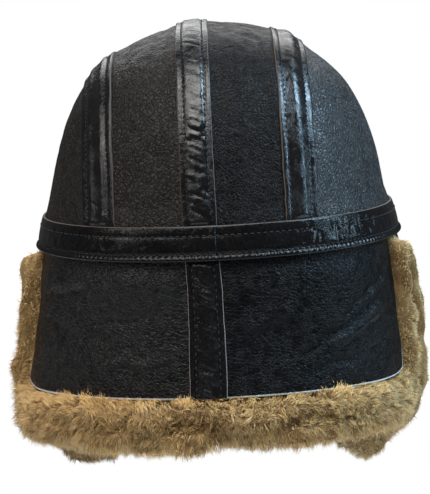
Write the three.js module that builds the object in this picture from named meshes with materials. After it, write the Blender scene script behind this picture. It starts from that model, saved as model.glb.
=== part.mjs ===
// A sheepskin flying helmet in the form it has when worn: four crown panels under three seam tapes, a band
// round the head, a nape flap in two halves, two ear flaps and a narrow brow strip, each with its wool side.
// Millimetres, +Z up. The wearer faces -Y and has +X on the left hand. The origin is the middle of the head
// opening, level with the band's lower edge.
import * as THREE from "three";

// The crown, on the outer face of its leather.
const HALF_WIDTH = 93.3; // at the band's lower edge
const HALF_DEPTH = 111; // at the band's lower edge
const CROWN_HEIGHT = 112; // above the band's lower edge
const CROWN_LEAN = 0.262; // share of its size that the wall would lose by the top, were it straight
const CROWN_ROUND = 4.6; // power of the shoulder's curve
const PLAN_ROUND = 2.1; // power of the oval seen from above
const APEX_SET_BACK = 5; // the top lies this far behind the middle

// Leather, tape and band.
const LEATHER = 2;
const TAPE_WIDTH = 16;
const TAPE_THICKNESS = 1.2;
const BAND_HEIGHT = 16;
const BAND_THICKNESS = 1.6;
const GAP = 0.3; // between pieces that touch
const TAPE_GAP = 0.5; // under a tape, which bridges the seam's ridge
const SIDE_SEAM = 48; // from the middle seam to each side seam
const SEAM_SHIFT = 8.5; // the middle seam is sewn this far to the wearer's left

// Wool.
const CROWN_PILE = 10; // pressed down inside the crown
const FLAP_PILE = 17; // standing free on the flaps
const LOCK_SIZE = 17; // the width of a lock of wool
const LOCK_DEPTH = 1.6; // how far a lock stands out or sinks in
const WOOL_RISE = 5; // from the band's lower edge down to where the wool has swollen out

// Flaps. Widths run along the head, drops go down from the band's lower edge to the leather's cut edge.
const NAPE_WIDTH = 236;
const NAPE_DROP = 63; // at its middle
const NAPE_SWING = 2.5; // its lower edge hangs this far to the wearer's left
const EAR_GAP = 14; // from the nape flap's side edge to the ear flap's rear edge
const EAR_WIDTH = 96;
const EAR_DROP = 107;
const BROW_GAP = 17; // from the ear flap's front edge to the brow strip's end
const BROW_DROP = 4;

// How far the wool stands out past a cut edge: past it in its own plane, and outwards from the leather's face.
const WOOL_EDGE = {
  nape: { side: 4, sideLow: 13, below: 24.5, bulge: 7 },
  ear: { side: 7, sideLow: 10, below: 15, bulge: 8.5 },
  brow: { side: 4, sideLow: 5, below: 9, bulge: 4 },
};

// The outward lean of a flap, a row for each level: drop as a share of its length below the band, out in mm.
const LEAN = {
  nape: [
    { drop: 0, out: 0 },
    { drop: 0.3, out: 2.2 },
    { drop: 0.65, out: 5.2 },
    { drop: 1.05, out: 8.5 },
    { drop: 1.5, out: 10 },
  ],
  ear_left: [
    { drop: 0, out: 0 },
    { drop: 0.25, out: 3.5 },
    { drop: 0.5, out: 3.5 },
    { drop: 0.75, out: -1 },
    { drop: 0.95, out: -9 },
    { drop: 1.15, out: -20 },
  ],
  ear_right: [
    { drop: 0, out: 0 },
    { drop: 0.25, out: 3.5 },
    { drop: 0.5, out: 6 },
    { drop: 0.75, out: 4.5 },
    { drop: 0.95, out: -6 },
    { drop: 1.15, out: -27 },
  ],
  brow: [
    { drop: 0, out: 0 },
    { drop: 1, out: 0.6 },
    { drop: 3.2, out: 1 },
  ],
};

// Soft folds and dents: across and down as shares of the flap or panel, wide and high as shares too, deep in mm.
const NAPE_FOLDS = [
  { across: -0.62, down: 0.42, wide: 0.22, high: 0.2, deep: 1.7 },
  { across: -0.3, down: 0.72, wide: 0.16, high: 0.18, deep: -1.5 },
  { across: 0.34, down: 0.55, wide: 0.22, high: 0.24, deep: -1.3 },
  { across: 0.7, down: 0.3, wide: 0.2, high: 0.2, deep: 1.4 },
];
const EAR_FOLDS = [
  { across: -0.35, down: 0.35, wide: 0.4, high: 0.12, deep: -1.6 },
  { across: 0.2, down: 0.62, wide: 0.5, high: 0.12, deep: 1.5 },
];

// The section of the wool past a cut edge, from its face round to its back: reach is the share of the way out from
// the edge, out is a share of the bulge in front of the leather's face, and in is a share of the pile behind it.
const WOOL_SECTION = [
  { reach: 0, out: null, in: 0 },
  { reach: 0.04, out: 0.6, in: 0 },
  { reach: 0.22, out: 1, in: 0 },
  { reach: 0.45, out: 0.75, in: 0 },
  { reach: 0.7, out: 0.8, in: 0 },
  { reach: 0.93, out: 0.1, in: 0 },
  { reach: 1, out: 0, in: 0.4 },
  { reach: 0.82, out: 0, in: 0.85 },
  { reach: 0.4, out: 0, in: 1.05 },
];

// How finely each shape is cut into faces.
const ARCH_STEPS = 20;
const TOP_PANEL_COLUMNS = 5;
const SIDE_PANEL_COLUMNS = 7;
const TAPE_COLUMNS = 3;
const BAND_STEPS = 60;
const LINING_STEPS = 30;
const LINING_RINGS = 8;
const OVAL_STEPS = 720;
const SOLVER_STEPS = 40;
const SMALL = 0.05; // a step for slopes

const SEAM_Z = BAND_HEIGHT / 2; // crown and flaps meet behind the middle of the band
const WOOL_FACE = LEATHER + GAP; // from the leather's outer face in to where the wool starts
const FACET_ROOM = 1; // more, where two curved sheets are cut into faces that don't line up
const EDGE_ROOM = 1.2; // from a flap's cut edge to the wool that stands up beside it

const LEATHER_SKIN = new THREE.MeshStandardMaterial({ name: "leather", color: 0x2b2625, roughness: 0.62, metalness: 0 });
const GLOSSY_SKIN = new THREE.MeshStandardMaterial({ name: "tape", color: 0x1a1718, roughness: 0.3, metalness: 0 });
const WOOL = new THREE.MeshStandardMaterial({ name: "wool", color: 0x9a7746, roughness: 0.95, metalness: 0 });

// The oval of the head opening. The result is 1 on it and grows outwards.
function ovalSize(x, y) {
  const across = Math.abs(x / HALF_WIDTH) ** PLAN_ROUND;
  const along = Math.abs(y / HALF_DEPTH) ** PLAN_ROUND;
  return (across + along) ** (1 / PLAN_ROUND);
}

function ovalPoint(angle) {
  const size = ovalSize(Math.sin(angle), Math.cos(angle));
  return new THREE.Vector2(Math.sin(angle) / size, Math.cos(angle) / size);
}

// Running length round the oval from the back, towards the wearer's left, at equal steps of angle.
const OVAL_LENGTHS = [0];
for (let step = 1; step <= OVAL_STEPS; step++) {
  const before = ovalPoint((2 * Math.PI * (step - 1)) / OVAL_STEPS);
  const here = ovalPoint((2 * Math.PI * step) / OVAL_STEPS);
  OVAL_LENGTHS.push(OVAL_LENGTHS[step - 1] + before.distanceTo(here));
}
const OVAL_LENGTH = OVAL_LENGTHS[OVAL_STEPS];

// The angle from the back at a length round the oval.
function angleAt(length) {
  const turns = Math.floor(length / OVAL_LENGTH);
  const rest = length - turns * OVAL_LENGTH;
  const step = Math.min(OVAL_STEPS - 1, OVAL_LENGTHS.findIndex((passed, i) => OVAL_LENGTHS[i + 1] >= rest));
  const share = (rest - OVAL_LENGTHS[step]) / (OVAL_LENGTHS[step + 1] - OVAL_LENGTHS[step]);
  return 2 * Math.PI * (turns + (step + share) / OVAL_STEPS);
}

const setBack = (z) => APEX_SET_BACK * Math.max(z / CROWN_HEIGHT, 0) ** 2;

// How far out a point is, as seen from inside the crown: 1 on the leather's outer face.
function crownLevel(point) {
  const height = point.z / CROWN_HEIGHT;
  const size = ovalSize(point.x, point.y - setBack(point.z)) / (1 - CROWN_LEAN * height);
  return size ** 2 + Math.max(height, 0) ** CROWN_ROUND;
}

// The crown's point on the ray from start along direction.
function crownHit(start, direction) {
  let near = 0;
  let far = (2 * (HALF_DEPTH + CROWN_HEIGHT)) / direction.length();
  for (let step = 0; step < SOLVER_STEPS; step++) {
    const middle = (near + far) / 2;
    const point = start.clone().addScaledVector(direction, middle);
    if (point.z < CROWN_HEIGHT && crownLevel(point) < 1) near = middle;
    else far = middle;
  }
  return start.clone().addScaledVector(direction, near);
}

function crownNormal(point) {
  const slope = (axis) => {
    const ahead = point.clone().setComponent(axis, point.getComponent(axis) + SMALL);
    const behind = point.clone().setComponent(axis, point.getComponent(axis) - SMALL);
    return crownLevel(ahead) - crownLevel(behind);
  };
  return new THREE.Vector3(slope(0), slope(1), slope(2)).normalize();
}

const offCrown = (point, offset) => point.clone().addScaledVector(crownNormal(point), offset);

// The front-to-back arch of the crown in the plane x, row by row from front to back. Its first and last rows lie on
// the crown's lower edge, and the next ones in just above the band.
function archRows(x) {
  const centre = new THREE.Vector3(x, 0, SEAM_Z);
  const aim = (angle) => new THREE.Vector3(0, Math.sin(angle), Math.cos(angle));
  const clearOfBand = (side) => {
    let low = 0;
    let high = Math.PI / 2;
    for (let step = 0; step < SOLVER_STEPS; step++) {
      const middle = (low + high) / 2;
      if (crownHit(centre, aim(side * middle)).z > BAND_HEIGHT + GAP) low = middle;
      else high = middle;
    }
    return side * low;
  };
  const front = clearOfBand(-1);
  const back = clearOfBand(1);
  const inner = Array.from({ length: ARCH_STEPS - 1 }, (_, i) => front + ((back - front) * i) / (ARCH_STEPS - 2));
  return [-Math.PI / 2, ...inner, Math.PI / 2].map((angle) => crownHit(centre, aim(angle)));
}

const steps = (from, to, count) => Array.from({ length: count + 1 }, (_, i) => from + ((to - from) * i) / count);

// A closed body of points and faces, three numbers to a face, turned so that its faces look out.
function solid(points, faces) {
  const volume = faces.reduce((sum, _, i) => {
    if (i % 3) return sum;
    return sum + points[faces[i]].clone().cross(points[faces[i + 1]]).dot(points[faces[i + 2]]);
  }, 0);
  if (volume < 0) faces.reverse();
  const geometry = new THREE.BufferGeometry().setFromPoints(points);
  geometry.setIndex(faces);
  geometry.computeVertexNormals();
  return geometry;
}

// A closed body between two sheets of points, each a list of rows. A ring closes on itself along its rows, and an
// apex point for each sheet closes a dome past its last row.
function body(outer, inner, { ring = false, apex = null } = {}) {
  const rows = outer.length;
  const columns = outer[0].length;
  const points = [...outer.flat(), ...inner.flat(), ...(apex ?? [])];
  const at = (sheet, row, column) => (sheet * rows + row) * columns + (column % columns);
  const spans = ring ? columns : columns - 1;
  const faces = [];
  const quad = (a, b, c, d) => faces.push(a, b, c, a, c, d);
  for (let row = 0; row + 1 < rows; row++) {
    for (let column = 0; column < spans; column++) {
      quad(at(0, row, column), at(0, row, column + 1), at(0, row + 1, column + 1), at(0, row + 1, column));
      quad(at(1, row, column), at(1, row + 1, column), at(1, row + 1, column + 1), at(1, row, column + 1));
    }
  }
  for (let column = 0; column < spans; column++) {
    quad(at(0, 0, column), at(1, 0, column), at(1, 0, column + 1), at(0, 0, column + 1));
    const last = rows - 1;
    if (apex) {
      const first = 2 * rows * columns;
      faces.push(at(0, last, column), at(0, last, column + 1), first);
      faces.push(at(1, last, column), first + 1, at(1, last, column + 1));
    } else {
      quad(at(0, last, column), at(0, last, column + 1), at(1, last, column + 1), at(1, last, column));
    }
  }
  if (!ring) {
    for (let row = 0; row + 1 < rows; row++) {
      const end = columns - 1;
      quad(at(0, row, 0), at(0, row + 1, 0), at(1, row + 1, 0), at(1, row, 0));
      quad(at(0, row, end), at(1, row, end), at(1, row + 1, end), at(0, row + 1, end));
    }
  }
  return solid(points, faces);
}

// One crown panel of leather between two edges, each a row of points from front to back.
function crownPanel(edgeA, edgeB, columns) {
  const centre = new THREE.Vector3(0, 0, SEAM_Z);
  const sheet = (offset) =>
    edgeA.map((a, row) =>
      Array.from({ length: columns + 1 }, (_, column) => {
        const between = a.clone().lerp(edgeB[row], column / columns);
        return offCrown(crownHit(centre, between.sub(centre)), offset);
      }),
    );
  return body(sheet(0), sheet(-LEATHER));
}

// The lower edge of a side panel, from the front end of its arch round the side to the back end.
function sideEdge(arch) {
  const front = Math.atan2(arch[0].x, arch[0].y);
  const back = Math.atan2(arch.at(-1).x, arch.at(-1).y);
  const centre = new THREE.Vector3(0, 0, SEAM_Z);
  return arch.map((_, row) => {
    const angle = front + ((back - front) * row) / (arch.length - 1);
    return crownHit(centre, new THREE.Vector3(Math.sin(angle), Math.cos(angle), 0));
  });
}

// A side panel's arch and lower edge meet in a point at each end. It is cut off short, behind the tape and band.
function sidePanel(x) {
  const arch = archRows(x);
  const edge = sideEdge(arch);
  const blunt = (row, next) => row.clone().lerp(next, 0.35);
  const trimmed = (line) => [blunt(line[0], line[1]), ...line.slice(1, -1), blunt(line.at(-1), line.at(-2))];
  return crownPanel(trimmed(arch), trimmed(edge), SIDE_PANEL_COLUMNS);
}

// A seam tape over the crown, a little thicker in the middle where it covers the seam's ridge.
function crownTape(x) {
  const offsets = Array.from({ length: TAPE_COLUMNS + 1 }, (_, i) => i / TAPE_COLUMNS - 0.5);
  const arches = offsets.map((share) => archRows(x + share * TAPE_WIDTH).slice(1, -1));
  const sheet = (height) => arches[0].map((_, row) => arches.map((arch, i) => offCrown(arch[row], height(offsets[i]))));
  const crest = (share) => TAPE_THICKNESS * (1.15 - 1.8 * share ** 2);
  return body(sheet((share) => TAPE_GAP + crest(share)), sheet(() => TAPE_GAP));
}

// A smooth value from a table of rows, by the named column, at a level of its drop column.
function fromTable(table, level, column) {
  const next = Math.max(1, table.findIndex((row) => row.drop >= level));
  const upper = level >= table.at(-1).drop ? table.length - 1 : next;
  const [a, b] = [table[upper - 1], table[upper]];
  const share = THREE.MathUtils.clamp((level - a.drop) / (b.drop - a.drop), 0, 1);
  return THREE.MathUtils.lerp(a[column], b[column], share);
}

// The leather's outer face below the crown: a point at a length round the head and a height, with its outward lean.
function wallPoint(length, z, lean) {
  const angle = angleAt(length);
  const oval = ovalPoint(angle);
  const height = Math.max(z / CROWN_HEIGHT, 0);
  const scale = (1 - CROWN_LEAN * height) * Math.sqrt(1 - height ** CROWN_ROUND);
  const outward = new THREE.Vector2(oval.x / HALF_WIDTH ** 2, oval.y / HALF_DEPTH ** 2).normalize();
  return new THREE.Vector3(
    oval.x * scale + outward.x * lean,
    oval.y * scale + outward.y * lean + setBack(z),
    z,
  );
}

// A sheet's point pushed out along its normal.
function offWall(surface, length, z, offset) {
  const along = surface(length + SMALL, z).sub(surface(length - SMALL, z));
  const down = surface(length, z - SMALL).sub(surface(length, z + SMALL));
  const normal = along.cross(down).normalize();
  const point = surface(length, z);
  const outward = point.x * normal.x + point.y * normal.y > 0 ? 1 : -1;
  return point.addScaledVector(normal, outward * offset);
}

// The band round the head, over the seam between the crown and the flaps.
function band() {
  const surface = (length, z) => wallPoint(length, z, 0);
  const levels = [
    { share: 0, thick: 0.75 },
    { share: 0.3, thick: 1 },
    { share: 0.7, thick: 1 },
    { share: 1, thick: 0.75 },
  ];
  const sheet = (offset) =>
    levels.map((level) =>
      Array.from({ length: BAND_STEPS }, (_, step) =>
        offWall(surface, (OVAL_LENGTH * step) / BAND_STEPS, BAND_HEIGHT * level.share, offset(level.thick)),
      ),
    );
  return body(sheet((thick) => GAP + BAND_THICKNESS * thick), sheet(() => GAP), { ring: true });
}

// The wool inside the crown, a bowl of locks that lines the leather.
function crownLining() {
  const centre = new THREE.Vector3(0, 0, SEAM_Z);
  const point = (angle, rise, offset) => {
    const aim = new THREE.Vector3(Math.cos(rise) * Math.sin(angle), Math.cos(rise) * Math.cos(angle), Math.sin(rise));
    return offCrown(crownHit(centre, aim), -offset);
  };
  const lock = (angle, rise) => {
    const around = Math.round(OVAL_LENGTH / LOCK_SIZE / 2);
    const up = (CROWN_HEIGHT + HALF_WIDTH) / LOCK_SIZE / 2;
    return LOCK_DEPTH * Math.cos(rise) * Math.sin(around * angle) * Math.sin(up * rise * 2);
  };
  const sheet = (depth) =>
    Array.from({ length: LINING_RINGS }, (_, ring) => {
      const rise = ((Math.PI / 2) * ring) / LINING_RINGS;
      return Array.from({ length: LINING_STEPS }, (_, step) => {
        const angle = (2 * Math.PI * step) / LINING_STEPS;
        return point(angle, rise, depth(angle, rise));
      });
    });
  const face = WOOL_FACE + FACET_ROOM;
  const outer = sheet(() => face);
  const inner = sheet((angle, rise) => face + CROWN_PILE + lock(angle, rise));
  const top = (offset) => point(0, Math.PI / 2, offset);
  return body(outer, inner, { ring: true, apex: [top(face), top(face + CROWN_PILE)] });
}

// Each flap: its edges as lengths round the head, how the edges draw in towards the bottom, how its lower corners are
// shaped, its folds, lean and wool. The rear edge comes first, drawIn shares are of the flap's width, and the lower
// edge sags towards its ends by a share of the drop and is rounded off there by another.
const napeFrom = SEAM_SHIFT - NAPE_WIDTH / 2;
const napeTo = SEAM_SHIFT + NAPE_WIDTH / 2;
const earLeftFrom = napeTo + EAR_GAP;
const earRightFrom = napeFrom - EAR_GAP;
const FLAPS = {
  nape: {
    from: napeFrom,
    to: napeTo,
    drop: NAPE_DROP,
    swing: NAPE_SWING,
    drawIn: { rear: 0, front: 0 },
    corner: { sag: 0.09, share: 0.06, power: 14 },
    folds: NAPE_FOLDS,
    lean: LEAN.nape,
    wool: WOOL_EDGE.nape,
    columns: 16,
    rows: 6,
  },
  ear_left: {
    from: earLeftFrom,
    to: earLeftFrom + EAR_WIDTH,
    drop: EAR_DROP,
    swing: 0,
    drawIn: { rear: 0.2, front: 0.32 },
    corner: { sag: 0, share: 0.13, power: 2.2 },
    folds: EAR_FOLDS,
    lean: LEAN.ear_left,
    wool: WOOL_EDGE.ear,
    columns: 8,
    rows: 8,
  },
  ear_right: {
    from: earRightFrom,
    to: earRightFrom - EAR_WIDTH,
    drop: EAR_DROP,
    swing: 0,
    drawIn: { rear: 0.2, front: 0.32 },
    corner: { sag: 0, share: 0.13, power: 2.2 },
    folds: EAR_FOLDS,
    lean: LEAN.ear_right,
    wool: WOOL_EDGE.ear,
    columns: 8,
    rows: 8,
  },
  brow: {
    from: earLeftFrom + EAR_WIDTH + BROW_GAP,
    to: OVAL_LENGTH + earRightFrom - EAR_WIDTH - BROW_GAP,
    drop: BROW_DROP,
    swing: 0,
    drawIn: { rear: 0, front: 0 },
    corner: { sag: 0, share: 0, power: 2 },
    folds: [],
    lean: LEAN.brow,
    wool: WOOL_EDGE.brow,
    columns: 9,
    rows: 2,
  },
};

const foldDepth = (folds, across, down) =>
  folds.reduce((sum, fold) => {
    const away = ((across - fold.across) / fold.wide) ** 2 + ((down - fold.down) / fold.high) ** 2;
    return sum + fold.deep * Math.exp(-away);
  }, 0);

// A flap laid flat: the length round the head and the height at across from -1, its rear edge, to 1, and down from
// 0, its sewn edge, to 1, its cut edge.
function flatPoint(flap, across, down) {
  const full = flap.drop + SEAM_Z - GAP;
  const { sag, share, power } = flap.corner;
  const round = 1 + (sag * across ** 2 - share * Math.abs(across) ** power) * down;
  const width = flap.to - flap.from;
  const rear = flap.from + width * flap.drawIn.rear * down ** 1.3;
  const front = flap.to - width * flap.drawIn.front * down ** 1.3;
  const length = THREE.MathUtils.lerp(rear, front, (across + 1) / 2);
  return new THREE.Vector2(length, SEAM_Z - GAP - down * full * round);
}

// The point where a spot of a flat flap hangs, at an offset out from the leather's outer face.
function hang(flap, flat, offset) {
  const surface = (length, z) => {
    const level = Math.max(-z, 0) / flap.drop;
    const point = wallPoint(length, z, fromTable(flap.lean, level, "out"));
    point.x += flap.swing * level ** 2;
    return point;
  };
  return offWall(surface, flat.x, flat.y, offset);
}

function flapPoint(flap, across, down, offset) {
  const fold = foldDepth(flap.folds, across, down) * Math.min(1, 4 * down * (1 - down));
  return hang(flap, flatPoint(flap, across, down), offset + fold);
}

// The levels at which a flap is cut into faces: one at its sewn edge, one just clear of the band, one where the wool
// has swollen out below it, then more down to the cut edge.
function flapLevels(flap) {
  const full = flap.drop + SEAM_Z - GAP;
  const clearOfBand = (SEAM_Z + GAP) / full;
  const swollen = Math.min(clearOfBand + WOOL_RISE / full, (clearOfBand + 1) / 2);
  return [0, clearOfBand, ...steps(swollen, 1, flap.rows - 1)];
}

// One leather part of a flap, from across to across.
function flapLeather(flap, from, to, columns) {
  const sheet = (offset) =>
    flapLevels(flap).map((down) => steps(from, to, columns).map((across) => flapPoint(flap, across, down, offset)));
  return body(sheet(0), sheet(-LEATHER));
}

// How far the wool stands out or sinks in at a length along the cut edge and a share of the way round its section.
function lockDepth(length, share) {
  const turn = Math.PI / LOCK_SIZE;
  const locks = Math.sin(turn * length + 2.2 * Math.sin(0.37 * turn * length) + 2.6 * share);
  return LOCK_DEPTH * (0.75 * locks + 0.45 * Math.sin(1.7 * turn * length - 5 * share));
}

// The wool of a flap: a pad behind the leather, and a roll of locks that swells out past the cut edges.
function flapWool(flap) {
  const levels = flapLevels(flap);
  const columns = 2 * flap.columns;
  const face = WOOL_FACE + FACET_ROOM;
  const depthAt = (down) => face + FLAP_PILE * Math.min(1, 0.55 + down);
  const halfWidth = Math.abs(flap.to - flap.from) / 2;
  const inside = (across, down) => lockDepth(halfWidth * across, 3 * down) * Math.min(1, 3 * down);
  const grid = (depth) => levels.map((down) => steps(-1, 1, columns).map((x) => flapPoint(flap, x, down, -depth(x, down))));
  const front = grid(() => face);
  const back = grid((across, down) => depthAt(down) + inside(across, down));

  // The path of the cut edges: down the rear side, along the bottom and up the front side.
  const last = levels.length - 1;
  const path = [
    ...levels.map((_, row) => ({ row, column: 0 })),
    ...steps(1, columns - 1, columns - 2).map((column) => ({ row: last, column })),
    ...levels.map((_, row) => ({ row: last - row, column: columns })),
  ];
  const flats = path.map(({ row, column }) => flatPoint(flap, (2 * column) / columns - 1, levels[row]));
  const hand = Math.sign(flap.to - flap.from);
  const outward = flats.map((_, i) => {
    const before = flats[Math.max(i - 2, 0)];
    const after = flats[Math.min(i + 2, flats.length - 1)];
    const along = after.clone().sub(before).normalize();
    return new THREE.Vector2(along.y, -along.x).multiplyScalar(hand);
  });
  const { side, sideLow, below, bulge } = flap.wool;
  const reachAt = ({ row, column }, i) => {
    const atSide = THREE.MathUtils.lerp(side, sideLow, levels[row] ** 2);
    const low = THREE.MathUtils.smoothstep(-outward[i].y, 0.2, 0.95);
    return row === last || (column !== 0 && column !== columns) ? THREE.MathUtils.lerp(atSide, below, low) : atSide;
  };
  let walked = 0;
  const rolls = path.map((stop, i) => {
    if (i > 0) walked += flats[i].distanceTo(flats[i - 1]);
    const length = walked;
    const down = levels[stop.row];
    const hidden = down <= levels[1];
    const grown = Math.min(1, 0.9 + 2 * (down - levels[1]));
    return WOOL_SECTION.map((row, k) => {
      const share = k / (WOOL_SECTION.length - 1);
      const lock = hidden || k === 0 ? 0 : lockDepth(length, share);
      const past = EDGE_ROOM + row.reach * (reachAt(stop, i) + lock - EDGE_ROOM);
      const flat = flats[i].clone().addScaledVector(outward[i], past);
      const free = !hidden && row.out !== null && row.in === 0;
      const offset = free ? (row.out * bulge + 0.7 * lock) * grown : -face - row.in * (depthAt(down) - face + 0.7 * lock);
      return hang(flap, flat, offset);
    });
  });

  const points = [...front.flat(), ...back.flat(), ...rolls.flat()];
  const sheetSize = levels.length * (columns + 1);
  const at = (sheet, { row, column }) => sheet * sheetSize + row * (columns + 1) + column;
  const section = (i, k) => {
    if (k < 0) return at(0, path[i]);
    if (k >= WOOL_SECTION.length) return at(1, path[i]);
    return 2 * sheetSize + i * WOOL_SECTION.length + k;
  };
  const faces = [];
  const quad = (a, b, c, d) => faces.push(a, b, c, a, c, d);
  for (let row = 0; row < last; row++) {
    for (let column = 0; column < columns; column++) {
      const corner = (sheet, r, c) => at(sheet, { row: row + r, column: column + c });
      quad(corner(0, 0, 0), corner(0, 0, 1), corner(0, 1, 1), corner(0, 1, 0));
      quad(corner(1, 0, 0), corner(1, 1, 0), corner(1, 1, 1), corner(1, 0, 1));
    }
  }
  for (let column = 0; column < columns; column++) {
    const top = (sheet, c) => at(sheet, { row: 0, column: column + c });
    quad(top(0, 0), top(1, 0), top(1, 1), top(0, 1));
  }
  for (let i = 0; i + 1 < path.length; i++) {
    for (let k = -1; k < WOOL_SECTION.length; k++) {
      quad(section(i, k), section(i + 1, k), section(i + 1, k + 1), section(i, k + 1));
    }
  }
  const end = path.length - 1;
  for (let k = -1; k + 1 < WOOL_SECTION.length; k++) {
    const rear = WOOL_SECTION.length;
    faces.push(section(0, rear), section(0, k), section(0, k + 1));
    faces.push(section(end, rear), section(end, k + 1), section(end, k));
  }
  return solid(points, faces);
}

// The tape over the nape flap's middle seam, from the band's lower edge to the leather's cut edge.
function napeTape() {
  const nape = FLAPS.nape;
  const half = TAPE_WIDTH / NAPE_WIDTH;
  const crest = (share) => TAPE_THICKNESS * (1.15 - 0.45 * share ** 2);
  const sheet = (offset) =>
    flapLevels(nape).slice(1).map((down) =>
      steps(-1, 1, TAPE_COLUMNS).map((share) => flapPoint(nape, share * half, down, offset(share))),
    );
  return body(sheet((share) => TAPE_GAP + crest(share)), sheet(() => TAPE_GAP));
}

const helmet = new THREE.Group();

function add(name, geometry, material) {
  const mesh = new THREE.Mesh(geometry, material);
  mesh.name = name;
  helmet.add(mesh);
}

const seams = { right: SEAM_SHIFT - SIDE_SEAM, middle: SEAM_SHIFT, left: SEAM_SHIFT + SIDE_SEAM };
const halfGap = GAP / 2;
const topPanel = (from, to) => crownPanel(archRows(from + halfGap), archRows(to - halfGap), TOP_PANEL_COLUMNS);

add("crown_side_right", sidePanel(seams.right - halfGap), LEATHER_SKIN);
add("crown_top_right", topPanel(seams.right, seams.middle), LEATHER_SKIN);
add("crown_top_left", topPanel(seams.middle, seams.left), LEATHER_SKIN);
add("crown_side_left", sidePanel(seams.left + halfGap), LEATHER_SKIN);
for (const [side, x] of Object.entries(seams)) add("crown_tape_" + side, crownTape(x), GLOSSY_SKIN);
add("band", band(), GLOSSY_SKIN);

const napeGap = halfGap / (NAPE_WIDTH / 2);
add("nape_flap_right", flapLeather(FLAPS.nape, -1, -napeGap, FLAPS.nape.columns / 2), LEATHER_SKIN);
add("nape_flap_left", flapLeather(FLAPS.nape, napeGap, 1, FLAPS.nape.columns / 2), LEATHER_SKIN);
add("nape_tape", napeTape(), GLOSSY_SKIN);
for (const name of ["ear_left", "ear_right", "brow"]) {
  const label = name === "brow" ? "brow_strip" : name.replace("ear_", "ear_flap_");
  add(label, flapLeather(FLAPS[name], -1, 1, FLAPS[name].columns), LEATHER_SKIN);
}

add("crown_wool", crownLining(), WOOL);
for (const [name, flap] of Object.entries(FLAPS)) add(name + "_wool", flapWool(flap), WOOL);

export default helmet;
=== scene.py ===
"""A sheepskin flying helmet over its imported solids: leather, seam tapes, stitches, cut edges and wool.

Lengths are millimetres until a mesh is made. +Z is up, the wearer faces -Y and has +X on the left hand.
"""

import math

import bpy
import numpy as np
from mathutils import Matrix, Vector


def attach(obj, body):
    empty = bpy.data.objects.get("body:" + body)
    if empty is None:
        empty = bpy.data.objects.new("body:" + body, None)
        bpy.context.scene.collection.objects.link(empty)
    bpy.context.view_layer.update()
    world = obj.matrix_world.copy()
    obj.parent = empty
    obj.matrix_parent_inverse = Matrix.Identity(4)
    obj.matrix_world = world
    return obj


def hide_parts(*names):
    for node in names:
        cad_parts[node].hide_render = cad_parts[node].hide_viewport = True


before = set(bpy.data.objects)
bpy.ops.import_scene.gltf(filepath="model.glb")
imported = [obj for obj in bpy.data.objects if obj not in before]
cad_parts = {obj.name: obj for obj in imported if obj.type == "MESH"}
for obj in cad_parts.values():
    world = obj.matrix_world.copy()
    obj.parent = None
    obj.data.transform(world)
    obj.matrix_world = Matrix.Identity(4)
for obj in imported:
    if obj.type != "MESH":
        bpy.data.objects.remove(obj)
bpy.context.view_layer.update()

MM = 0.001

# The crown, on the outer face of its leather, as in the solids.
HALF_WIDTH = 93.3
HALF_DEPTH = 111.0
CROWN_HEIGHT = 112.0
CROWN_LEAN = 0.262
CROWN_ROUND = 4.6
PLAN_ROUND = 2.1
APEX_SET_BACK = 5.0
LEATHER = 2.0
TAPE_WIDTH = 16.0
BAND_HEIGHT = 16.0
BAND_THICKNESS = 1.6
GAP = 0.3
SIDE_SEAM = 48.0
SEAM_SHIFT = 8.5
SEAM_Z = BAND_HEIGHT / 2
CROWN_PILE = 10.0
FLAP_PILE = 17.0
WOOL_FACE = LEATHER + GAP + 0.7
EDGE_ROOM = 0.5
SLOPE = 0.5  # a step for slopes
FELT_FACE = WOOL_FACE + 0.3
CENTRE = np.array([0, 0, SEAM_Z])
FAR_FROM_EDGE = 9.0  # stands for any distance at which a cut edge no longer shows
COARSE_STEP = 6  # steps of the fine grid in one face of a sheet's inner side
BATCH = 2000
CURL = 0.3
# A strand's thickness at each of its points, by how many it has.
TAPERS = {2: np.array([1.0, 0.0]), 3: np.array([1.0, 0.75, 0.0])}

# The outward lean of each flap: levels below the band as shares of its drop, and how far out it stands there.
LEAN = {
    "nape": ((0, 0.3, 0.65, 1.05, 1.5), (0, 2.2, 5.2, 8.5, 10)),
    "ear_left": ((0, 0.25, 0.5, 0.75, 0.95, 1.15), (0, 3.5, 3.5, -1, -9, -20)),
    "ear_right": ((0, 0.25, 0.5, 0.75, 0.95, 1.15), (0, 3.5, 6, 4.5, -6, -27)),
    "brow": ((0, 1, 3.2), (0, 0.6, 1)),
}
NAPE_FOLDS = ((-0.62, 0.42, 0.22, 0.2, 1.7), (-0.3, 0.72, 0.16, 0.18, -1.5),
              (0.34, 0.55, 0.22, 0.24, -1.3), (0.7, 0.3, 0.2, 0.2, 1.4))
EAR_FOLDS = ((-0.35, 0.35, 0.4, 0.12, -1.6), (0.2, 0.62, 0.5, 0.12, 1.5))

random = np.random.default_rng(20)


def unit(vectors):
    return vectors / np.maximum(np.linalg.norm(vectors, axis=-1, keepdims=True), 1e-9)


def smoothstep(low, high, value):
    share = np.clip((value - low) / (high - low), 0, 1)
    return share * share * (3 - 2 * share)


def bell(value, middle, width):
    return np.exp(-(((value - middle) / width) ** 2))


def smooth_table(stops, values, at):
    """A smooth curve through a short table."""
    stops = np.asarray(stops, float)
    values = np.asarray(values, float)
    slopes = np.gradient(values, stops)
    at = np.clip(at, stops[0], stops[-1])
    i = np.clip(np.searchsorted(stops, at, side="right") - 1, 0, len(stops) - 2)
    span = stops[i + 1] - stops[i]
    t = (at - stops[i]) / span
    return (
        values[i] * (2 * t**3 - 3 * t**2 + 1)
        + values[i + 1] * (3 * t**2 - 2 * t**3)
        + slopes[i] * span * (t**3 - 2 * t**2 + t)
        + slopes[i + 1] * span * (t**3 - t**2)
    )


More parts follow.
